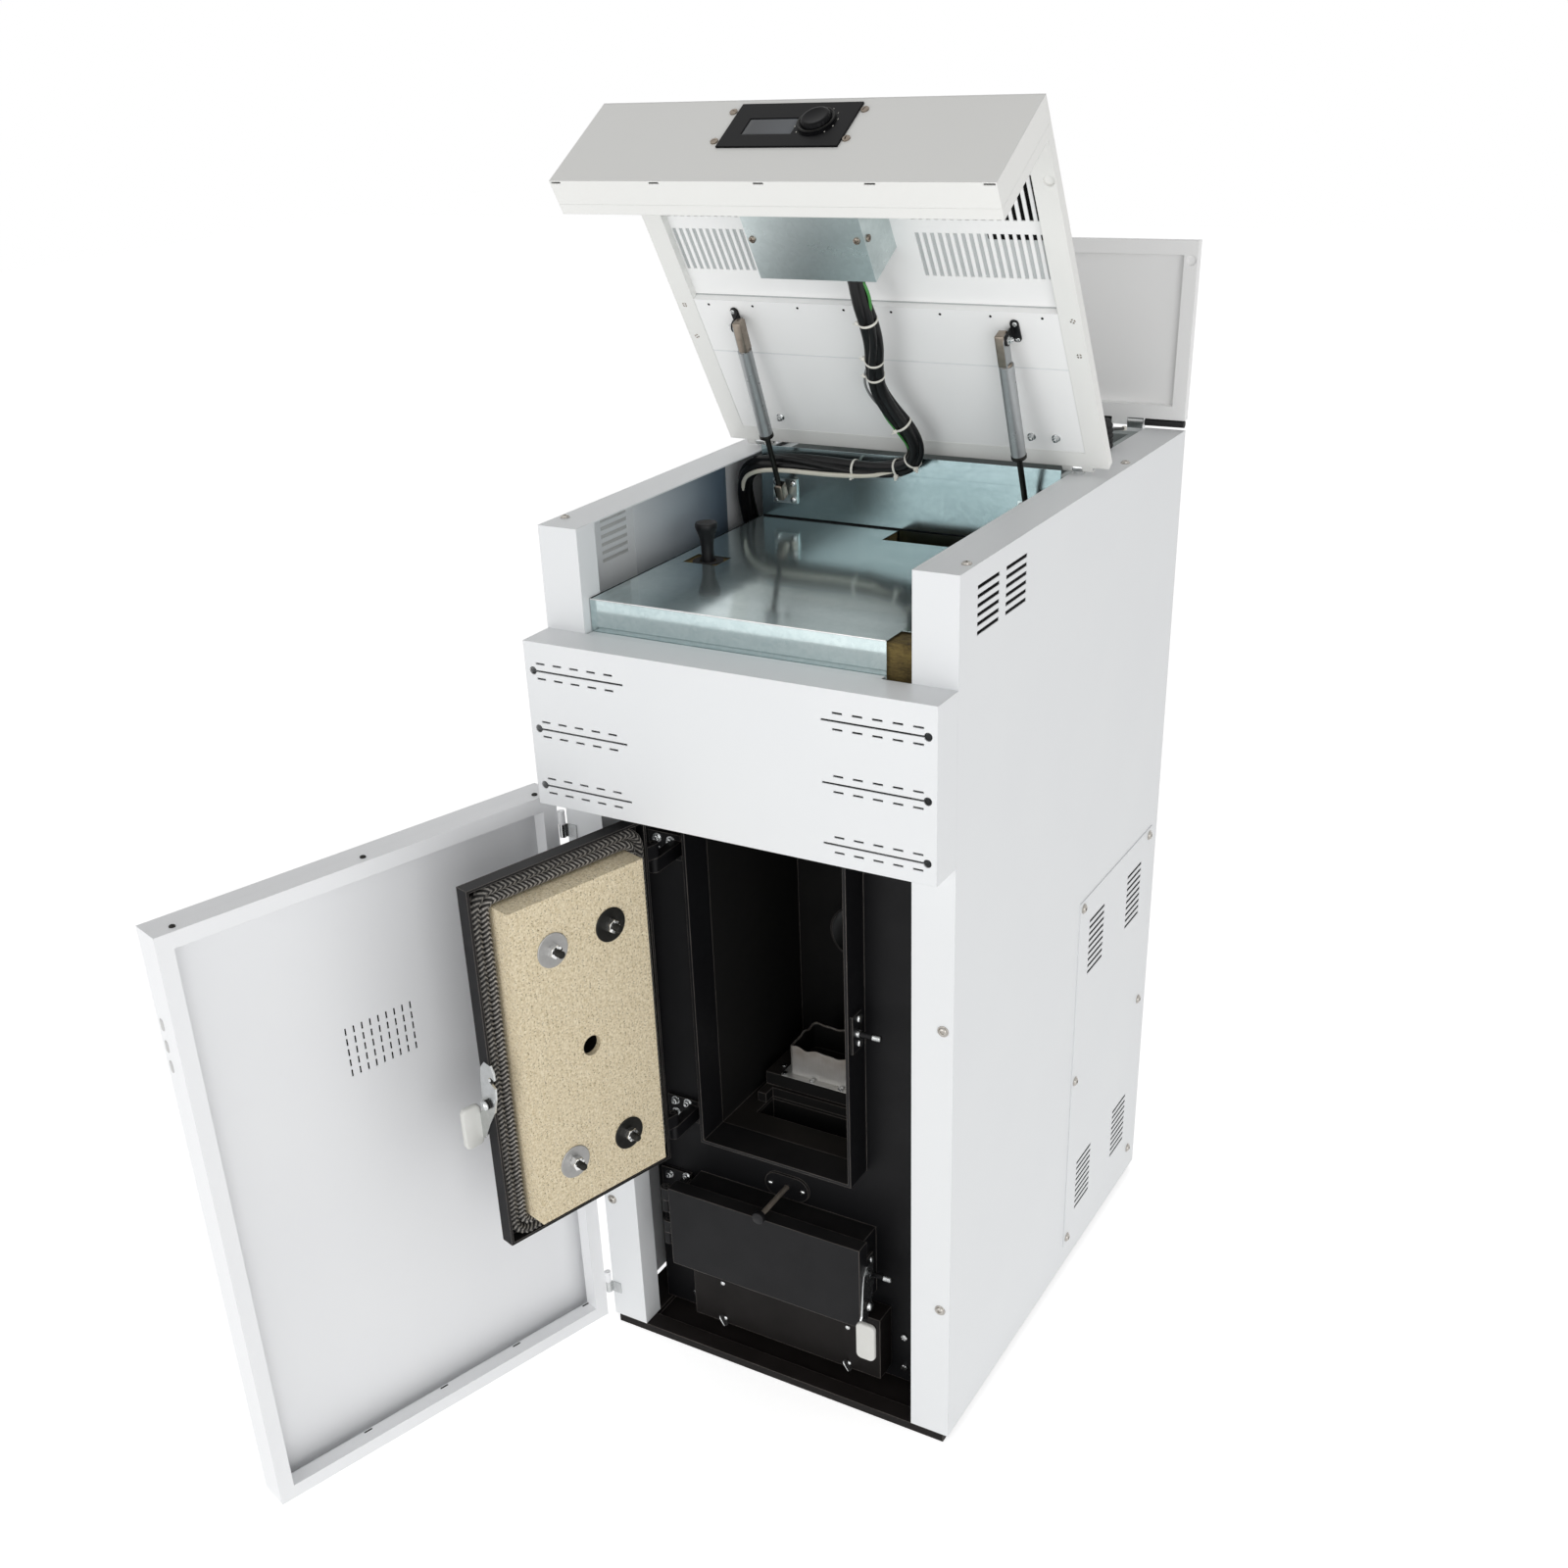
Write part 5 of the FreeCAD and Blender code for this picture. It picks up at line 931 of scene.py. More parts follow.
@dataclass
class Boiler(Assembly):
    """The black boiler body with its chamber, burner, flue and water connections."""
    nodes: Dressing = (
        (BLACK, "boiler_front water_jacket auger_tube latch_strikers boiler_door_hinges"),
        (BROWN_BLACK, "ash_cover_plate"), (SOOT, "firebox ash_box burner_base exchanger_tubes"),
        (ZINC, "exchanger_cover fan_housing flue_spigot"), (WALL_ZINC, "bulkhead"), (DULL_ZINC, "hopper"),
        (BLACK_PLASTIC, "cable_gland fan_motor auger_gearmotor"), (PLATED, "auger_screw fan_impeller water_pipes"))
    pot_size: Pair = (136.0, 80.0)
    pot_corner: float = 7.0
    pot_middle: float = 240.0
    pot_levels: Pair = (433.0, 487.0)
    pot_wall: float = 2.0
    floor_walls: int = 3
    soot_wall: float = 0.6
    wave: float = 5.5
    soot_gap: float = 0.1
    soot_drop: float = 2.0
    flange: Plate = ((158, 102, 4), 1.6, 0.4, ((0, 240, 433.1),), UP)
    pot_bolts: Screws = (Head.BOLT, 4.5, (
        (-73, 194, 434.6), (-25, 194, 434.6), (25, 194, 434.6), (73, 194, 434.6), (-86, 215, 433), (86, 215, 433),
        (-86, 270, 433), (86, 270, 433)), UP)
    hinge_nuts: Screws = (Head.NUT, 5.5, (
        (-199, 74, 867), (-199, 74, 847), (-200, 74, 419), (-200, 74, 398), (-222, 74, 272), (-222, 74, 201),
        (-176, 74, 866), (-178, 74, 420), (-190, 74, 277)), FORWARD)
    base_bolts: Screws = (Head.BOLT, 6.0, ((-190, 80, 40), (190, 80, 100), (-190, 80, 150), (190, 80, 40)), FORWARD)
    striker_bolts: Screws = (Head.DOME, 6.5, ((132, 55, 665), (132, 55, 626), (146, 55, 250), (146, 55, 211)), RIGHT)
    plate_screws: Screws = (Head.DOME, 4.5, ((-112, 42, 116), (112, 42, 116), (-36, 76, 316), (20, 76, 316)), FORWARD)
    wings: Spots = ((-112, 42, 45), (112, 42, 45))
    wing_radius: float = 5.2
    wing_reach: float = 1.3
    wing_shares: Triple = (2.2, 4.2, 1.0)
    wing_thick: float = 2.4
    wing_edge: float = 0.8
    wing_lean: Triple = (0.87, 0, 0.5)
    striker_pins: Spots = ((132, 48, 645), (146, 48, 230))
    collar: Profile = ((0, 0), (6.5, 0), (6.5, 4), (5.4, 5), (5.4, 6), (0, 6))
    cap: Profile = ((0, 0), (4.9, 0), *thread((5.2, 4.5), 0.6, 0.75, 15), (4.4, 12.2), (3, 13), (0, 13.2))
    cap_reach: float = 25.5
    rod_spot: Triple = (-8, -4.2, 316)
    rod_knob_spot: Triple = (-8, -13, 316)
    rod: Profile = ((0, 0), (3.2, 0), (4, 0.8), (4, 153), (3.4, 154.2), (0, 154.2))
    rod_knob: Profile = ((0, 0), (7.5, 0), (9.2, 0.8), (10, 2.4), (10, 8.2), (9.2, 10), (7.4, 10.8), (5.2, 11.2),
                         (5, 13), (0, 13))
    grip: Profile = ((0, 1050), (5, 1050), (6, 1052), (6, 1204), (9.4, 1206), (10, 1209), (9.4, 1220), (8.8, 1238),
                     (9, 1250), (10.2, 1259), (12.6, 1267), (15, 1273), (16, 1276.5), (15.9, 1279.5), (14.8, 1281.6),
                     (12.5, 1282), (9, 1280.6), (0, 1280))
    grip_spot: Pair = (-190, 234)
    hole_shade_ring: Triple = (11.5, 22, 1.4)
    hole_shade_ring_level: float = 1226.9
    seams: tuple[Bar, ...] = (((-235, 464.6, 1230.0), (236, 466.9, 1231.8), 0.4),
                              ((-238.6, 16, 1228.6), (-237.2, 466, 1230.6), 0.4))
    return_flange: Bar = ((-236, 0.4, 1184.4), (197, 13.8, 1186.2), 0.5)
    # a bright steel bead along the cover's front edge: a painted highlight where the zinc's rolled edge catches the
    # light
    edge_highlight_line: tuple[Triple, Triple] = ((-237, 15.2, 1229.8), (197.5, 15.2, 1229.8))
    highlight_radius: float = 1.0
    lip_crease: float = 5.0
    lip: Bar = ((-234, 465.9, 1309), (236, 466.9, 1335.5), 0.3)
    rim_seal: Bar = ((-234, 468, 1319.5), (236, 484, 1321.5), 0.8)
    liners: tuple[Bar, ...] = tuple(((side * 297.6 - 0.3, 214, 1190), (side * 297.6 + 0.3, 463, 1323), 0.2)
                                    for side in SIDES)
    felt_cell: float = 4.5
    felt_sunk: float = 0.6
    felt_rough: float = 3.4

    def pot(self, inset: float, wall: float, low: float, high: float) -> Surface:
        """A burner pot or its lining: a round-cornered outline whose wall rises to a wavy edge, with a floor.

        The edge drops below the top by the wave's depth times a raised sum of two sines of the way round; the
        wall goes up outside, over the edge and down inside.

        Args:
            inset: how far the outer face stands in from the pot's outline.
            wall: its thickness.
            low: level of its foot.
            high: the highest that its edge reaches.
        Returns:
            The closed surface.
        """
        outline = rounded_outline(*self.pot_size, self.pot_corner, 16)
        way = np.linspace(0, walked(outline)[-1], 361)
        reach = np.array(self.pot_size) / 2
        outer, inner = (along(outline, way) * (1 - depth / reach) for depth in (inset, inset + wall))
        turn = TURN * way / way[-1]
        edge = high - self.wave * (0.5 + 0.3 * np.sin(9 * turn) + 0.2 * np.sin(14 * turn + 1))
        share = np.linspace(0, 1, 9)[:, None]
        floor = low + self.floor_walls * wall
        rows = [(outer * 0, np.full_like(edge, low))]
        rows += [(outer, low + (edge - low) * step) for step in share]
        rows += [(inner, edge - (edge - floor) * step) for step in share]
        rows += [(inner * 0, np.full_like(edge, floor))]
        grid = np.stack([np.column_stack((flat, level)) for flat, level in rows])
        return sheet(grid).stood(at(0, self.pot_middle, 0))

    def burner(self) -> None:
        """The wavy pot with its sooty lining on the burner's base, and the bolts at its foot."""
        low, high = self.pot_levels
        fit("burner_pot_sheet", self.pot(0, self.pot_wall, low, high), POT, instead="burner_pot")
        wall, gap = self.pot_wall, self.soot_gap
        lining = self.pot(wall + gap, self.soot_wall, low + self.floor_walls * wall + gap, high - self.soot_drop)
        fit("burner_pot_soot", lining, SOOT)
        fit("burner_pot_flange", plates(self.flange), POT)
        fit("burner_pot_bolts", fasteners(self.pot_bolts), PLATED)

    def bolts(self) -> None:
        """Hinge bolts, striker bolts and pins, wing screws, and screws of the cover plate and the air rod."""
        bolts = fasteners(self.hinge_nuts, self.base_bolts, self.striker_bolts, self.plate_screws)
        fit("boiler_bolts", bolts, PLATED)
        radius = self.wing_radius
        spots = [(x, y - radius * self.wing_reach, z) for x, y, z in self.wings]
        size = tuple(radius * share for share in self.wing_shares)
        wings = plates((size, self.wing_thick, self.wing_edge, spots, self.wing_lean))
        bosses = fasteners((Head.DOME, radius, self.wings, FORWARD))
        fit("cover_wing_screws", join((bosses, wings)), PLATED)
        pins = [turned(rows).stood(at(x + reach, y, z), RIGHT) for x, y, z in self.striker_pins
                for rows, reach in ((self.collar, 0), (self.cap, self.cap_reach))]
        fit("striker_pin_sleeves", join(pins), PLATED)

    def handles(self) -> None:
        """The air rod with its turned knob."""
        fit("air_rod_bar", turned(self.rod).stood(at(*self.rod_spot), BACK), ROD_STEEL, "air_rod", "air_rod")
        fit("air_rod_knob", turned(self.rod_knob).stood(at(*self.rod_knob_spot), BACK), BLACK_PLASTIC, "air_rod")

    def well(self) -> None:
        """Gaps, sheets and seals of the well under the lid, and the bulkhead's lip."""
        fit("cover_seams", bars(*self.seams), HOLE)
        fit("panel_return_flange", bars(self.return_flange), WHITE)
        # painted highlight: a bright steel bead on the cover's front edge
        path = np.linspace(*(at(*end) for end in self.edge_highlight_line), 12)
        fit("cover_edge_highlight_line", swept(path, ring_section(self.highlight_radius, 12), UP), NUT_STEEL)
        spring = fit("bulkhead_lip", bars(self.lip), WALL_ZINC, crease=self.lip_crease)
        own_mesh(spring)
        fit("rim_seal", bars(self.rim_seal), RUBBER)
        # liners on the well's side walls, darker towards the rear as painted shade
        fit("well_shade_liners", bars(*self.liners), BACK_COAT)

    def cleaning(self) -> None:
        """The exchanger's cleaning grip, a rod with a flared, dished head, and a dark rubber ring round it in the
        wool below the cover, painted shade in the cover's hole.
        """
        handle = turned(self.grip, 48).stood(at(*self.grip_spot, 0))
        fit("cleaning_grip_handle", handle, BLACK_PLASTIC, "cleaning_grip", "cleaning_grip")
        # a dark rubber ring round the grip below the cover: painted shade in the cover's hole
        fit("grip_hole_shade_ring", ring(*self.hole_shade_ring).stood(at(*self.grip_spot, self.hole_shade_ring_level)), RUBBER)

    def wool(self) -> Surface:
        """A soft, matted copy of the mineral wool's solid.

        The merged copy is remeshed into small cells, and each point is drawn in along its normal by a steady
        depth and by a sum of products of sines at three lengths.

        Returns:
            The matted surface.
        """
        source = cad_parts["mineral_wool"]
        mesh = source.data.copy()
        mesh.transform(source.matrix_world)
        work = bmesh.new()
        work.from_mesh(mesh)
        bmesh.ops.remove_doubles(work, verts=work.verts, dist=1e-5)
        work.to_mesh(mesh)
        work.free()
        holder = placed("felting", mesh)
        cells = holder.modifiers.new("cells", "REMESH")
        cells.mode = "VOXEL"
        cells.voxel_size = self.felt_cell / MM
        made = worked_out(holder)
        places = listed(made.vertices, "co").reshape(-1, 3) * MM
        normals = listed(made.vertex_normals, "vector").reshape(-1, 3)
        corners = listed(made.loops, "vertex_index", 1, int).reshape(-1, 4)
        bpy.data.meshes.remove(made)
        waves = sum(share * np.sin(places[:, 0] / size + 1) * np.sin(places[:, 1] / size * 1.3 + 2)
                    * np.sin(places[:, 2] / size * 1.7) for share, size in ((0.4, 9.0), (0.35, 4.1), (0.25, 2.3)))
        depth = self.felt_sunk + self.felt_rough * (0.5 + 0.5 * waves)
        return Surface(places - normals * depth[:, None], corners, np.zeros((len(places), 2)))

    def build(self) -> None:
        """Dresses the boiler and adds its burner, bolts, handles and insulation."""
        self.dress()
        self.burner()
        self.bolts()
        self.handles()
        self.well()
        self.cleaning()
        fit("wool_batt", self.wool(), WOOL, instead="mineral_wool", crease=SOFT)


@dataclass
class Doors(Assembly):
    """The white front door and the black chamber and ash doors with their latches."""
    nodes: Dressing = (
        (DOOR_WHITE, "front_door_skin front_door_frame"), (BLACK, "chamber_door_pan ash_door"),
        (BOARD, "chamber_door_board"), (PLATED, "chamber_latch ash_latch"))
    chamber_mid: float = 653.0
    rope_outer: Pair = (144.2, 276.7)
    rope_depth: float = 19.4
    strand: float = 14.5
    strand_halves: Pair = (6.9, 9.4)
    strands: tuple[tuple[str, float, float, BraidedRope], ...] = (
        ("outer_rope_strand", 0.5, 26, DARK_ROPE), ("inner_rope_strand", 1.5, 14, ROPE))
    swell: float = 0.09
    fixing: Pair = (49.0, 169.5)
    fixing_step: float = 25.0
    board_depth: float = 60.0
    sleeve_depth: float = 20.2
    washer: Profile = ((0, 0), (24.4, 0), (25, 0.5), (25, 1.4), (24.3, 2), (9.5, 1.7), (8, 1.5), (0, 1.5))
    nut: Profile = ((0, 1.4), (10.3, 1.4, 1), (10.4, 1.8, 1), (10.4, 9.6, 1), (9.8, 10.6, 0.6), (8.8, 11), (0, 11))
    stud: Profile = ((0, 10.4), *thread((5.0, 5.35), 10.6, 0.5, 23), (4.4, 22.4), (0, 22.9))
    sleeve: Profile = ((0, 0), (14.7, 0), (14.8, 0.4), (14.8, 31), (14.2, 31.4), (13.8, 31), (13.6, 1.4), (0, 1))
    latches: tuple[tuple[str, Triple, Triple], ...] = (
        ("chamber", (164.5, -5, 567.0), (156.6, 18, 610)), ("ash", (170.0, -5, 152.0), (162.1, 18, 195)))
    pad: Slab = ((31, 66, 9), 9, 3.2, 0.6, 10)
    rivet: float = 7.5
    edge_screw: float = 4.2
    edge_screws: Spots = ((269, -20, 950), (1.5, -20, 950), (-274, -20, 950))
    # near-black slits, pale grey ovals and a near-black sheet behind the grille: painted shade
    slits: tuple[Plate, ...] = (
        ((14, 2.6, 1.2), 0.4, 0.15, tuple((x, -28, 36.9) for x in (140, 4, -133, -272)), UP),
        ((2.4, 14, 1.1), 0.4, 0.15, ((271, -54.5, 709), (271, -54.5, 241)), BACK))
    oval: Slab = ((9, 18, 4.4), 0.8, 0.4, 0.4, 6)
    ovals: Spots = tuple((300, -43, z) for z in (814, 782, 752))
    grille_shade: Plate = ((112, 96, 4), 0.5, 0.2, ((0, -55.5, 657),), BACK)

    def braid(self, width: float, height: float, bend: float, rope: BraidedRope) -> Surface:
        """A braided strand laid in a closed, round-cornered loop in X and Z, with its depth along Y.

        Along the loop the section is an ellipse whose reach swells by a sine of the length in yarns and of the
        way round, folded twice so that the yarns meet in chevrons on the front and on the back.

        Args:
            width: of the loop's middle line along X.
            height: of that line along Z.
            bend: radius of its corners.
            rope: the finish, which says how many chevrons there are and how far the yarns lean.
        Returns:
            The closed strand about the origin.
        """
        outline = rounded_outline(width, height, bend, 14)
        u = np.linspace(0, 1, rope.yarns * 6 + 1)
        line = along(outline, u * walked(outline)[-1])
        ahead = np.roll(line[:-1], -1, axis=0) - np.roll(line[:-1], 1, axis=0)
        ahead = unit(np.vstack((ahead, ahead[:1])))
        v = np.linspace(0, 1, 21)
        fold = np.abs((2 * v) % 1 - 0.5)
        reach = 1 + self.swell * np.sin(TURN * (rope.yarns * u[:, None] + rope.starts * fold[None, :]))
        inward = self.strand_halves[0] * reach * np.cos(TURN * v)
        deep = self.strand_halves[1] * reach * np.sin(TURN * v)
        return sheet(np.stack((line[:, :1] - ahead[:, 1:] * inward, deep, line[:, 1:] + ahead[:, :1] * inward),
                              axis=-1))

    def rope(self) -> None:
        """The rope seal in the chamber door's pan: two braided strands side by side."""
        for name, share, bend, rope in self.strands:
            width, height = (2 * (side - share * self.strand) for side in self.rope_outer)
            loop = self.braid(width, height, bend, rope).stood(at(0, self.rope_depth, self.chamber_mid))
            fit(name, loop, rope, "chamber_door", "chamber_door_rope", crease=SOFT)

    def fixings(self) -> None:
        """Studs, nuts and broad washers that hold the fire board, and a near-black sleeve in its sight hole as
        painted shade.
        """
        across, up = self.fixing
        spots = [(sx * across, self.board_depth, self.chamber_mid + sz * up) for sx in SIDES for sz in SIDES]
        washer = turned(self.washer, 56)
        for name, part, finish, chosen in (
                ("zinc_board_washers", washer, WASHER, spots[2:]),
                ("dark_board_washers", washer, DARK_STEEL, spots[:2]),
                ("board_nuts", turned(self.nut, 48), NUT_STEEL, spots),
                ("board_studs", turned(self.stud), DARK_STEEL, spots)):
            fit(name, repeated(part, chosen, BACK, self.fixing_step), finish, "chamber_door", "board_fixings")
        sleeve = turned(self.sleeve).stood(at(0, self.sleeve_depth, self.chamber_mid), BACK)
        # a near-black sleeve in the sight hole: painted shade
        fit("sight_hole_shade_sleeve", sleeve, HOLE, "chamber_door")

    def handles(self) -> None:
        """Rounded plastic pads on the latch plates, and the rivets that they turn on."""
        pad = slab(*self.pad)
        for name, spot, pivot in self.latches:
            body = f"{name}_latch"
            fit(f"{name}_pad_moulding", pad.stood(at(*spot), FORWARD), CREAM, body, f"{body}_pad")
            fit(f"{name}_latch_rivet", fasteners((Head.DOME, self.rivet, (pivot,), RIGHT)), PLATED, body)

    def front_door(self) -> None:
        """Screws in the door's top edge, and painted shade: near-black slits and pale grey ovals on its sheet, and a
        near-black sheet behind its grille.
        """
        fit("door_edge_screws", recessed(self.edge_screw, self.edge_screws, UP), DARK_STEEL, "front_door")
        fit("door_sheet_slit_shades", plates(*self.slits), HOLE, "front_door")
        oval_shades = repeated(slab(*self.oval), self.ovals, RIGHT)
        fit("door_edge_oval_shades", oval_shades, PALE_SHADE_GREY, "front_door")
        fit("grille_shade_sheet", plates(self.grille_shade), HOLE, "front_door")

    def build(self) -> None:
        """Dresses the doors and adds their seal, fixings, latches and trim."""
        self.dress()
        self.rope()
        self.fixings()
        self.handles()
        self.front_door()


@dataclass
class Lids(Assembly):
    """The front lid with its controller and gas springs, and the hopper lid with its switch."""
    nodes: Dressing = (
        (FASCIA_WHITE, "lid_shell lid_fascia"), (LID_WHITE, "lid_inner_panel hopper_lid"),
        (BOX_ZINC, "electrics_box strut_brackets"), (GLOSS_BLACK, "controller"),
        (ENAMEL, "left_strut_tube right_strut_tube"), (DARK_STEEL, "left_strut_rod right_strut_rod"))
    unit_screw: float = 5.0
    unit_screws: Spots = ((-94, -56, 1317.5), (-94, -56, 1262), (83, -56, 1318), (82, -56, 1265))
    rail_screw: float = 5.0
    rail_screws: Spots = tuple((x, y, 1329.5) for x in (-285, 285) for y in (242, 296))
    rear_nuts: Screws = (Head.NUT, 4.6, tuple((x, 437, 1327.5) for x in (-230, -195, 195, 230)), DOWN)
    # near-black dots for small holes in the lid's step: painted shade
    step_hole_shades: Screws = (Head.DOT, 1.8, tuple((-245 + 70 * n, 240, 1327.5) for n in range(8)), DOWN)
    # near-black and grey sheets behind the lid's vent slots: painted shade
    vent_shades: tuple[Plate, ...] = (((178, 68, 2), 0.4, 0.15, ((-179, 75, 1338.9), (179, 75, 1338.9)), UP),
                                ((72, 9, 2), 0.3, 0.1, ((226, 129, 1338.5),), UP))
    pale_vent_shades: Plate = ((178, 70, 2), 0.4, 0.15, ((-179, 157, 1338.9), (179, 157, 1338.9)), UP)
    # a strip of the plainer, darker white along the panel's fold: a painted shade line
    fold: Plate = ((536, 1.8, 0.8), 0.5, 0.25, ((0, 320, 1327.1),), UP)
    # a grey line at the panel's step: a painted shadow line
    step_shadow_line: Plate = ((538, 1.6, 0.7), 0.4, 0.15, ((0, 230.9, 1337.0),), UP)
    screen: Plate = ((67.4, 29.4, 1.2), 0.7, 0.3, ((-28, -57.0, 1287),), FORWARD)
    box_screw: float = 4.6
    box_screws: Spots = ((-95.6, 88, 1271.5), (52.4, 87, 1271.5))
    box_side_screws: Spots = ((63, 90, 1281),)
    knob: Pair = (31.0, 1294.0)
    knob_rows: Profile = ((0, 0), (16.6, 0), (19, 0.6), (19, 2), (18.6, 3), (18.2, 5.6), (17.6, 6.8), (16.6, 7.6),
                          (14.6, 8), (13, 7.6), (0, 7.2))
    flutes: int = 24
    flute_depth: float = 0.022
    flute_start: float = 2.5
    flute_fade: float = 1.5
    flute_end: float = 7.4
    knob_depth: float = -58.8
    halo: tuple[float, float, float, int] = (21.2, 22.6, 0.7, 72)
    halo_depth: float = -61.4
    dot_circle: float = 26.5
    dot_radius: float = 0.9
    dot_depth: float = -58.5
    dot_turns: Triple = (-135, 136, 27.0)
    strut_x: float = 195.0
    strut_low: Pair = (452.0, 1271.0)
    strut_eye: Pair = (260.0, 1309.0)
    strut_shift: float = 1.5
    tube_length: float = 174.0
    neck: Profile = ((0, -42), (7.5, -42), (8.4, -41), (8.4, -36), (7, -34), (0, -34))
    collar: Profile = ((5, -1.5), (9.4, -1.5), (10.5, -0.5), (10.6, 4), (10.1, 5), (5, 5), (5, -1.5))
    fork: tuple[Triple, Triple] = ((-6.5, -8.5, -36), (6.5, 8.5, 9))
    foot: tuple[Triple, Triple] = ((-6.0, -8.2, -8.5), (6.0, 8.2, 16))
    fitting_edge: float = 2.5
    bracket_screw: float = 5.0
    bracket_depth: float = 464.0
    bracket_steps: Pair = (14.0, 12.0)
    ear_x: float = 200.3
    ear_level: float = 1314.4
    ear_nut: float = 4.2
    ear_screw: float = 3.2
    ear_seat: Triple = (7.4, 12.0, 1324.5)
    ear_plate_spot: Pair = (6.0, 1327.5)
    ear: Slab = ((16, 26, 7.8), 3, 0.8, 0.0, 10)
    ear_plate: Slab = ((12, 34, 5.8), 3, 1.0, 0.0, 10)
    boot: Triple = (233.0, 642.0, 1319.5)
    boot_radius: float = 11.0
    boot_taper: float = 2.4
    boot_folds: int = 5
    boot_span: Pair = (8.5, 36.0)
    boot_foot: Profile = ((0, 0), (4.6, 0), (4.6, 8))
    boot_top: Profile = ((6, 48), (3.4, 49.7), (0, 50))
    fold_depth: float = 0.16
    feeler: Profile = ((0, 0), (2.2, 0), (2.2, 74), (1.6, 75), (0, 75))
    feeler_tip: Profile = ((0, 0), (3, 0), (3.6, 1), (3.6, 7), (2.6, 8.4), (0, 8.8))
    feeler_dip: float = 10.08
    feeler_level: float = 34.0
    feeler_reach: float = 72.0
    hopper_hinge: Pair = (801.0, 1333.0)
    hinge_rod: float = 5.2
    rod_spans: tuple[Pair, ...] = ((-296, -236), (-184, 184), (236, 296))

    def controller(self) -> None:
        """The screen, the knob with its ring and dots, and the controller's screws.

        The knob is a turned piece whose radius swells by a cosine of the angle, in the band below its top.
        """
        x, z = self.knob
        fit("screen_window", plates(self.screen), GLASS, "front_lid")
        plain = turned(self.knob_rows, 144)
        right, away, level = plain.points.T
        band = np.clip((level - self.flute_start) / self.flute_fade, 0, 1) * np.clip(self.flute_end - level, 0, 1)
        swell = 1 + self.flute_depth * band * np.cos(self.flutes * np.arctan2(away, right))
        fluted = replace(plain, points=np.stack((right * swell, away * swell, level), axis=-1))
        fluted = fluted.stood(at(x, self.knob_depth, z), FORWARD)
        fit("fluted_knob", fluted, GLOSS_BLACK, "control_knob", "control_knob")
        halo = ring(*self.halo).stood(at(x, self.halo_depth, z), FORWARD)
        fit("knob_bright_ring", halo, DARK_STEEL, "front_lid")
        dots = [(x + self.dot_circle * math.sin(turn), self.dot_depth, z + self.dot_circle * math.cos(turn))
                for turn in np.radians(np.arange(*self.dot_turns))]
        fit("knob_scale_dots", fasteners((Head.DOT, self.dot_radius, dots, FORWARD)), NYLON, "front_lid")
        screws = recessed(self.unit_screw, self.unit_screws, FORWARD, Drive.SLOT)
        fit("controller_screws", screws, WORN_STEEL, "front_lid")

    def lid(self) -> None:
        """Screws and nuts in the lid's inner panel and wiring box, and painted shade: near-black dots in small holes,
        near-black and grey sheets behind the vents, a darker white strip along the fold and a grey line at the step.
        """
        screws = (recessed(self.rail_screw, self.rail_screws, DOWN), recessed(self.box_screw, self.box_screws, DOWN),
                  recessed(self.box_screw, self.box_side_screws, RIGHT))
        for name, surface, finish, slot in (
                ("lid_screws", join(screws), WORN_STEEL, ""),
                ("lid_rear_nuts", fasteners(self.rear_nuts), PLATED, ""),
                ("lid_step_hole_shades", fasteners(self.step_hole_shades), HOLE, ""),
                ("lid_vent_shade_sheets", plates(*self.vent_shades), HOLE, ""),
                ("lower_lid_vent_shade_sheets", plates(self.pale_vent_shades), SHADE_GREY, ""),
                ("panel_fold_shade", plates(self.fold), WHITE, ""),
                ("panel_step_shadow_line", plates(self.step_shadow_line), SHADE_GREY, "white_paint")):
            fit(name, surface, finish, "front_lid")

    def springs(self) -> None:
        """End fittings, collars and bracket screws of the two gas springs."""
        for name, side in zip(("left", "right"), SIDES):
            low = at(side * self.strut_x, *self.strut_low)
            high = FRONT_LID.turn(at(side * self.strut_x, *self.strut_eye))
            axis, tube = high - low, f"{name}_strut_tube"
            shift = (-side * self.strut_shift, 0, 0)
            fork, foot = (block(*(np.add(corner, shift) for corner in ends), self.fitting_edge)
                          for ends in (self.fork, self.foot))
            upper = join((fork, turned(self.neck))).stood(high, axis)
            fit(f"{name}_spring_fork", upper, WORN_STEEL, tube)
            collar = turned(self.collar, 48).stood(high - self.tube_length * unit(axis), axis)
            fit(f"{name}_spring_collar", collar, DARK_STEEL, tube)
            fit(f"{name}_spring_foot", foot.stood(low, axis), WORN_STEEL, f"{name}_strut_rod")
        self.eyelets()
        across, up = self.bracket_steps
        spots = [(side * self.strut_x + sx * across, self.bracket_depth, self.strut_low[1] + sz * up)
                 for side in SIDES for sx in SIDES for sz in SIDES]
        fit("spring_bracket_screws", fasteners((Head.DOME, self.bracket_screw, spots, FORWARD)), PLATED)

    def eyelets(self) -> None:
        """Rounded eyelets under the lid that the springs' upper ends are pinned to, with their screws."""
        plate, ear = slab(*self.ear_plate), slab(*self.ear)
        y, z = self.strut_eye
        thick = self.ear[1]
        out, level = self.ear_plate_spot
        seat, apart, under = self.ear_seat
        ears, screws = [], []
        for side in SIDES:
            inner = side * self.ear_x
            outer = inner + side * thick
            ears += [plate.stood(at(inner + side * out, y, level), DOWN),
                     ear.stood(at(min(inner, outer), y, self.ear_level), RIGHT)]
            seats = [(inner + side * seat, y + step * apart, under) for step in SIDES]
            screws += [recessed(self.ear_screw, seats, DOWN),
                       fasteners((Head.NUT, self.ear_nut, ((outer, y, z),), (side, 0, 0)))]
        fit("spring_eyelets", join(ears), BLACK_PLASTIC, "front_lid", "lid_strut_brackets")
        fit("spring_eyelet_screws", join(screws), PLATED, "front_lid")

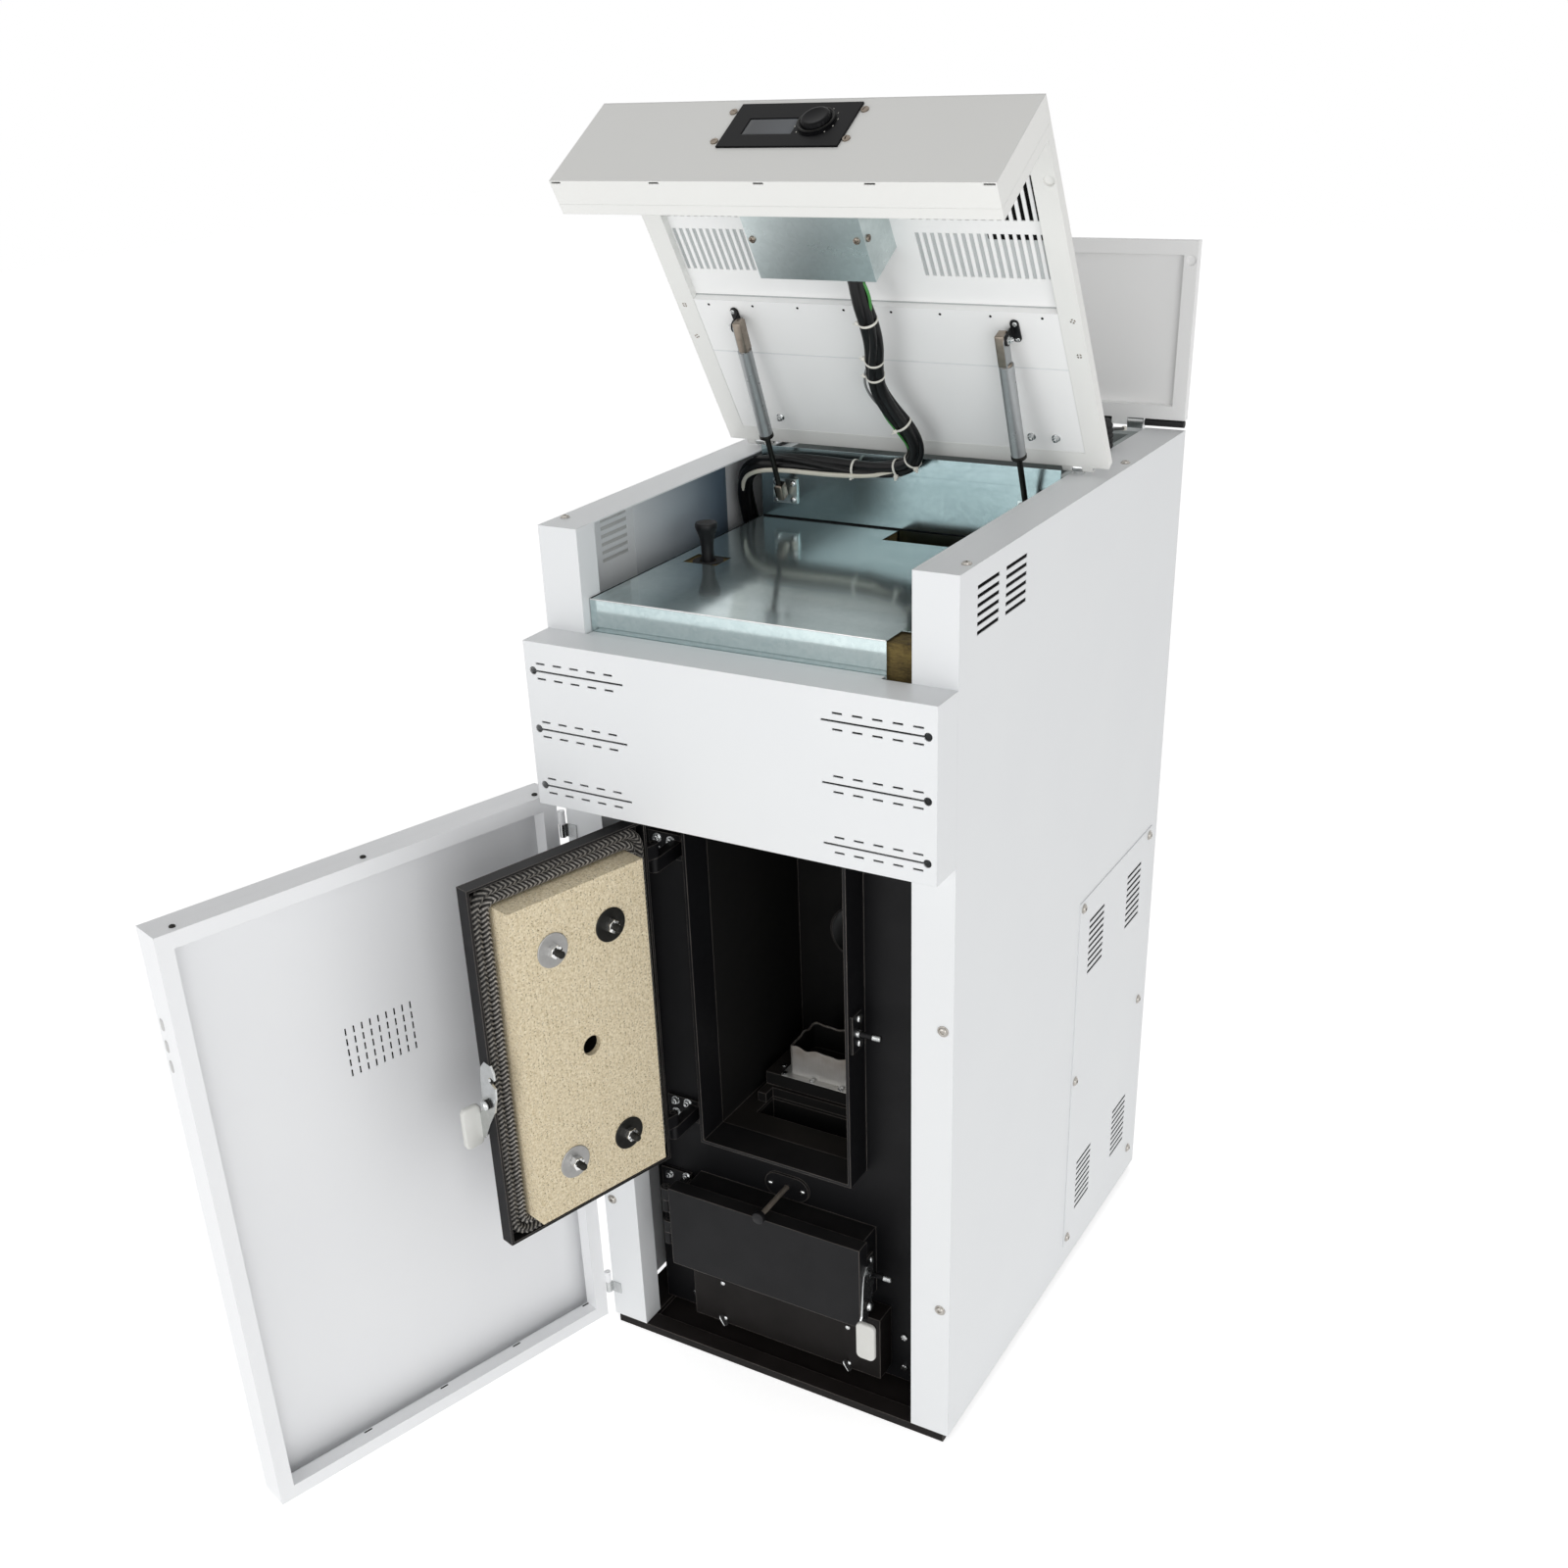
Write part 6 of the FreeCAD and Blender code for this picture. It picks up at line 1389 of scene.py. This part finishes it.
    def switch(self) -> None:
        """The hopper lid's switch: a bellows boot with a feeler rod, which the closing lid presses down.

        The boot's radius shrinks with the cube of the height and swells by the size of a sine for each fold.
        """
        x, y, z = self.boot
        steps = np.linspace(0, 1, 61)
        ripple = np.abs(np.sin(steps * math.pi * self.boot_folds))
        radius = (self.boot_radius - self.boot_taper * steps ** 3) * (1 - self.fold_depth + self.fold_depth * ripple)
        start, height = self.boot_span
        rows = [*self.boot_foot, *zip(radius, start + steps * height), *self.boot_top]
        dip = math.radians(self.feeler_dip)
        way = (0, math.cos(dip), -math.sin(dip))
        root = at(x, y, z + self.feeler_level)
        end = root + self.feeler_reach * np.array(way)
        for name, surface, finish in (
                ("switch_boot", turned(rows, 40).stood(at(x, y, z)), RUBBER),
                ("switch_feeler", turned(self.feeler, 16).stood(root, way), DARK_STEEL),
                ("switch_feeler_tip", turned(self.feeler_tip, 24).stood(end, way), NYLON)):
            piece = fit(name, surface, finish, instead="lid_switch")
            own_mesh(piece)

    def hinge_rods(self) -> None:
        """Rubber-sleeved rods along the hopper lid's hinge line, between its knuckles."""
        section = ring_section(self.hinge_rod, 20)
        rods = [swept(np.linspace(*(at(x, *self.hopper_hinge) for x in span), 4), section, UP)
                for span in self.rod_spans]
        fit("hopper_hinge_rods", join(rods), RUBBER)

    def build(self) -> None:
        """Dresses the lids and adds the controller's, the springs' and the switch's pieces."""
        self.dress()
        self.controller()
        self.lid()
        self.springs()
        self.switch()
        self.hinge_rods()


@dataclass
class Loom:
    """The wiring loom from the lid's wiring box over to the bulkhead: sleeves, side wires and cable ties.

    A sleeve is its angle in degrees, its distance from the middle and its radius. A wire is its name, where it
    leaves and joins as shares of the loom's length, its greatest offset, its radius and its finish.
    """
    route: Spots = (
        (20, 283, 1608.8), (23, 292, 1575), (27, 309, 1543), (24, 330, 1511), (12, 352, 1479),
        (6, 374, 1446), (17, 393, 1415), (33, 412, 1386), (38, 430, 1357), (24, 443, 1333),
        (-7, 450, 1321), (-48, 453, 1316.5), (-92, 454.4, 1316), (-136, 454.6, 1317),
        (-180, 454.4, 1317.4), (-222, 453, 1314), (-254, 456, 1300), (-267, 466, 1272),
        (-270, 477, 1240), (-268, 487, 1208))
    radius: float = 12.0
    sleeves: Spots = ((0, 5.8, 7.2), (180, 5.8, 7.2), (90, 7.6, 5.2), (270, 8.0, 4.6))
    lay: float = 620.0
    tie_rise: Pair = (0.2, 1.2)
    tie_width: float = 3.6
    tie_seat: float = 1.5
    tie_head: tuple[Bar, ...] = (((-3.2, -2.8, -1.5), (3.2, 2.8, 3.6), 1.0),
                                 ((-1.8, -0.6, 2.5), (1.8, 0.6, 7.0), 0.5))
    ties: tuple[float, ...] = (0.098, 0.193, 0.232, 0.357, 0.454, 0.499, 0.601)
    wires: tuple[tuple[str, Pair, Triple, float, Finish], ...] = (
        ("loom_cream_wire", (0.47, 0.97), (0, -13, -10), 3.4, CREAM_WIRE),
        ("loom_grey_wire", (0.19, 0.36), (-15, -9, 4), 1.7, GREY_WIRE),
        ("loom_earth_wire", (0.0, 0.09), (15, -3, 0), 2.0, EARTH_WIRE),
        ("loom_thin_wire", (0.26, 0.45), (-9, -11, -3), 1.3, EARTH_WIRE))
    wire_steps: int = 90
    wire_flat: float = 0.7
    crease: float = 60.0

    def line(self) -> Array:
        """Points along the smooth NURBS line that has the route's points as its control points."""
        curve = bpy.data.curves.new("loom_line", "CURVE")
        curve.dimensions = "3D"
        spline = curve.splines.new("NURBS")
        spline.points.add(len(self.route) - 1)
        for point, place in zip(spline.points, self.route):
            point.co = metres(at(*place)) + [1]
        spline.order_u = 3
        spline.use_endpoint_u = True
        spline.resolution_u = 12
        made = worked_out(placed("loom_line", curve))
        points = listed(made.vertices, "co").reshape(-1, 3) * MM
        bpy.data.meshes.remove(made)
        return points

    def section(self) -> Array:
        """Round sleeves side by side: at each angle the farthest point of the circles about the middle."""
        angle = np.linspace(0, TURN, 73)
        turn, reach, size = np.array(self.sleeves).T
        off = (angle[:, None] - np.radians(turn) + math.pi) % TURN - math.pi
        under = size ** 2 - (reach * np.sin(off)) ** 2
        far = np.where(under > 0, reach * np.cos(off) + np.sqrt(np.maximum(under, 0)), 0).max(axis=1)
        return far[:, None] * rays(angle)

    def tie(self, line: Array, share: float, number: int) -> Surface:
        """A cable tie round the sleeves: a flat band whose section goes round a small rectangle, and its head.

        Args:
            line: points of the loom's middle line.
            share: place of the tie along the loom.
            number: of the tie, which turns its head.
        Returns:
            The tie.
        """
        here = share * walked(line)[-1]
        spot, ahead = (along(line, here + step) for step in (0, 2))
        way = unit(ahead - spot)
        inner, outer = (self.radius + rise for rise in self.tie_rise)
        band = ring(inner, outer, self.tie_width, 40).stood(spot - way * self.tie_width / 2, way)
        side = unit(np.cross(way, (0.3, -1, 0.2 * number)))
        side = side if side[1] < 0 else -side
        head = join([block(*row) for row in self.tie_head])
        return join((band, head.stood(spot + side * (self.radius + self.tie_seat), side)))

    def strand(self, line: Array, span: Pair, sag: Triple, radius: float) -> Surface:
        """A wire tied into the loom that bows out of it: the loom's line moved by a half sine of a sag."""
        path = along(line, np.linspace(*span, self.wire_steps) * walked(line)[-1])
        bow = np.sin(np.linspace(0, math.pi, self.wire_steps)) ** self.wire_flat
        return swept(path + bow[:, None] * np.array(sag), ring_section(radius, 12), (0.2, 1, 0.3))

    def build(self) -> None:
        """The sleeves on the loom's smooth line, with wires and ties that bend along with them."""
        line = self.line()
        way = walked(line)
        pieces = [("loom_sleeves", swept(line, self.section(), BACK, way / self.lay * TURN), SLEEVE)]
        pieces += [(name, self.strand(line, span, sag, radius), finish)
                   for name, span, sag, radius, finish in self.wires]
        ties = [self.tie(line, share, number) for number, share in enumerate(self.ties)]
        for name, surface, finish in (*pieces, ("loom_ties", join(ties), NYLON)):
            piece = fit(name, surface, finish, body="", crease=self.crease)
            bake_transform(piece)
        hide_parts("wiring_loom")
        log.info("loom %.0f mm", way[-1])


# ---------------------------------------------------------------- studio


@dataclass
class Studio:
    """A pale floor, soft light and the camera; a lamp is its place, tilt in degrees, side in metres and watts."""
    place: Triple = (1.1063, -2.1828, 1.9091)
    tilt: Triple = (62.162, 2.636, 31.047)
    sensor: float = 36.0
    lens: float = 40.066
    shift: Pair = (0.0312, 0.0925)
    ambient: float = 0.46
    lift: float = 0.66
    bounce: float = 0.41
    lamps: tuple[tuple[Triple, Triple, float, float], ...] = (
        ((-1.3, -4.6, 1.25), (86, 0, -15), 2.4, 33.0),
        ((3.1, -3.6, 1.7), (79, 0, 41), 2.4, 52.0))
    floor_half: float = 14000.0
    floor_level: float = -0.3
    floor_tone: str = "#EAEAEA"
    light_tone: str = "#FFFFFF"

    def aim(self, name: str, data: Any, place: Triple, tilt: Triple) -> bpy.types.Object:
        """A camera or lamp at its place, tilted by degrees."""
        made = placed(name, data)
        made.location = place
        made.rotation_euler = Euler([math.radians(angle) for angle in tilt])
        return made

    def camera(self) -> None:
        """A camera at the photograph's place and angle."""
        data = bpy.data.cameras.new("camera")
        data.sensor_fit = "HORIZONTAL"
        data.sensor_width = self.sensor
        data.lens = self.lens
        data.shift_x, data.shift_y = self.shift
        bpy.context.scene.camera = self.aim("camera", data, self.place, self.tilt)

    def light(self) -> None:
        """Square soft lamps."""
        for number, (place, tilt, side, power) in enumerate(self.lamps):
            data = bpy.data.lights.new(f"lamp{number}", "AREA")
            data.size = side
            data.energy = power
            self.aim(f"lamp{number}", data, place, tilt)

    def rays(self, owner: Any) -> tuple[Graph, Any]:
        """An emptied node tree of a world or material, and outputs that tell the kinds of rays apart."""
        owner.use_nodes = True
        owner.node_tree.nodes.clear()
        return Graph(owner.node_tree), add(owner.node_tree, "ShaderNodeLightPath")

    def world(self) -> None:
        """White to the camera, mirrors and glass; a plain even light to all else."""
        sky = bpy.context.scene.world = bpy.data.worlds.new("studio")
        graph, kinds = self.rays(sky)
        seen = graph.sums("MAXIMUM", kinds["Is Camera Ray"], kinds["Is Transmission Ray"])
        sheen = graph.ranged(kinds["Is Glossy Ray"], 0, 1, 0, 1 - self.ambient)
        level = graph.sums("ADD", graph.ranged(seen, 0, 1, self.ambient, 1), sheen)
        level = graph.sums("MINIMUM", level, 1.0)
        glow = add(graph.tree, "ShaderNodeBackground", {"Color": linear(self.light_tone), "Strength": level})
        add(graph.tree, "ShaderNodeOutputWorld", {"Surface": glow[0]})

    def floor(self) -> None:
        """A wide floor that is white to the camera and keeps the object's shadow."""
        steps = np.linspace(-self.floor_half, self.floor_half, 5)
        u, v = np.meshgrid(steps, steps, indexing="ij")
        surface = sheet(np.stack((u, v, np.full_like(u, self.floor_level)), axis=-1))
        mesh = bpy.data.meshes.new("floor")
        mesh.from_pydata((surface.points / MM).tolist(), [], surface.faces.tolist())
        paint = bpy.data.materials.new("pale_floor")
        graph, kinds = self.rays(paint)
        seen = graph.sums("MAXIMUM", kinds["Is Camera Ray"], kinds["Is Glossy Ray"])
        level = graph.ranged(seen, 0, 1, self.bounce, self.lift)
        own = add(graph.tree, "ShaderNodeBsdfDiffuse", {"Color": linear(self.floor_tone)})
        glow = add(graph.tree, "ShaderNodeEmission", {"Color": linear(self.light_tone), "Strength": level})
        both = add(graph.tree, "ShaderNodeAddShader", {0: own[0], 1: glow[0]})
        add(graph.tree, "ShaderNodeOutputMaterial", {"Surface": both[0]})
        mesh.materials.append(paint)
        placed("floor", mesh)

    def build(self) -> None:
        """Sets up the studio."""
        bpy.context.scene.view_settings.view_transform = "Standard"
        self.world()
        self.floor()
        self.light()
        self.camera()


def main() -> None:
    """Builds the sub-assemblies in order."""
    logging.basicConfig(level=logging.INFO, format="%(name)s: %(message)s")
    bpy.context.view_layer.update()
    for assembly in (Studio(), Loom(), Cabinet(), Boiler(), Doors(), Lids()):
        log.info("building %s", type(assembly).__name__)
        assembly.build()


if __name__ == "__main__":
    main()
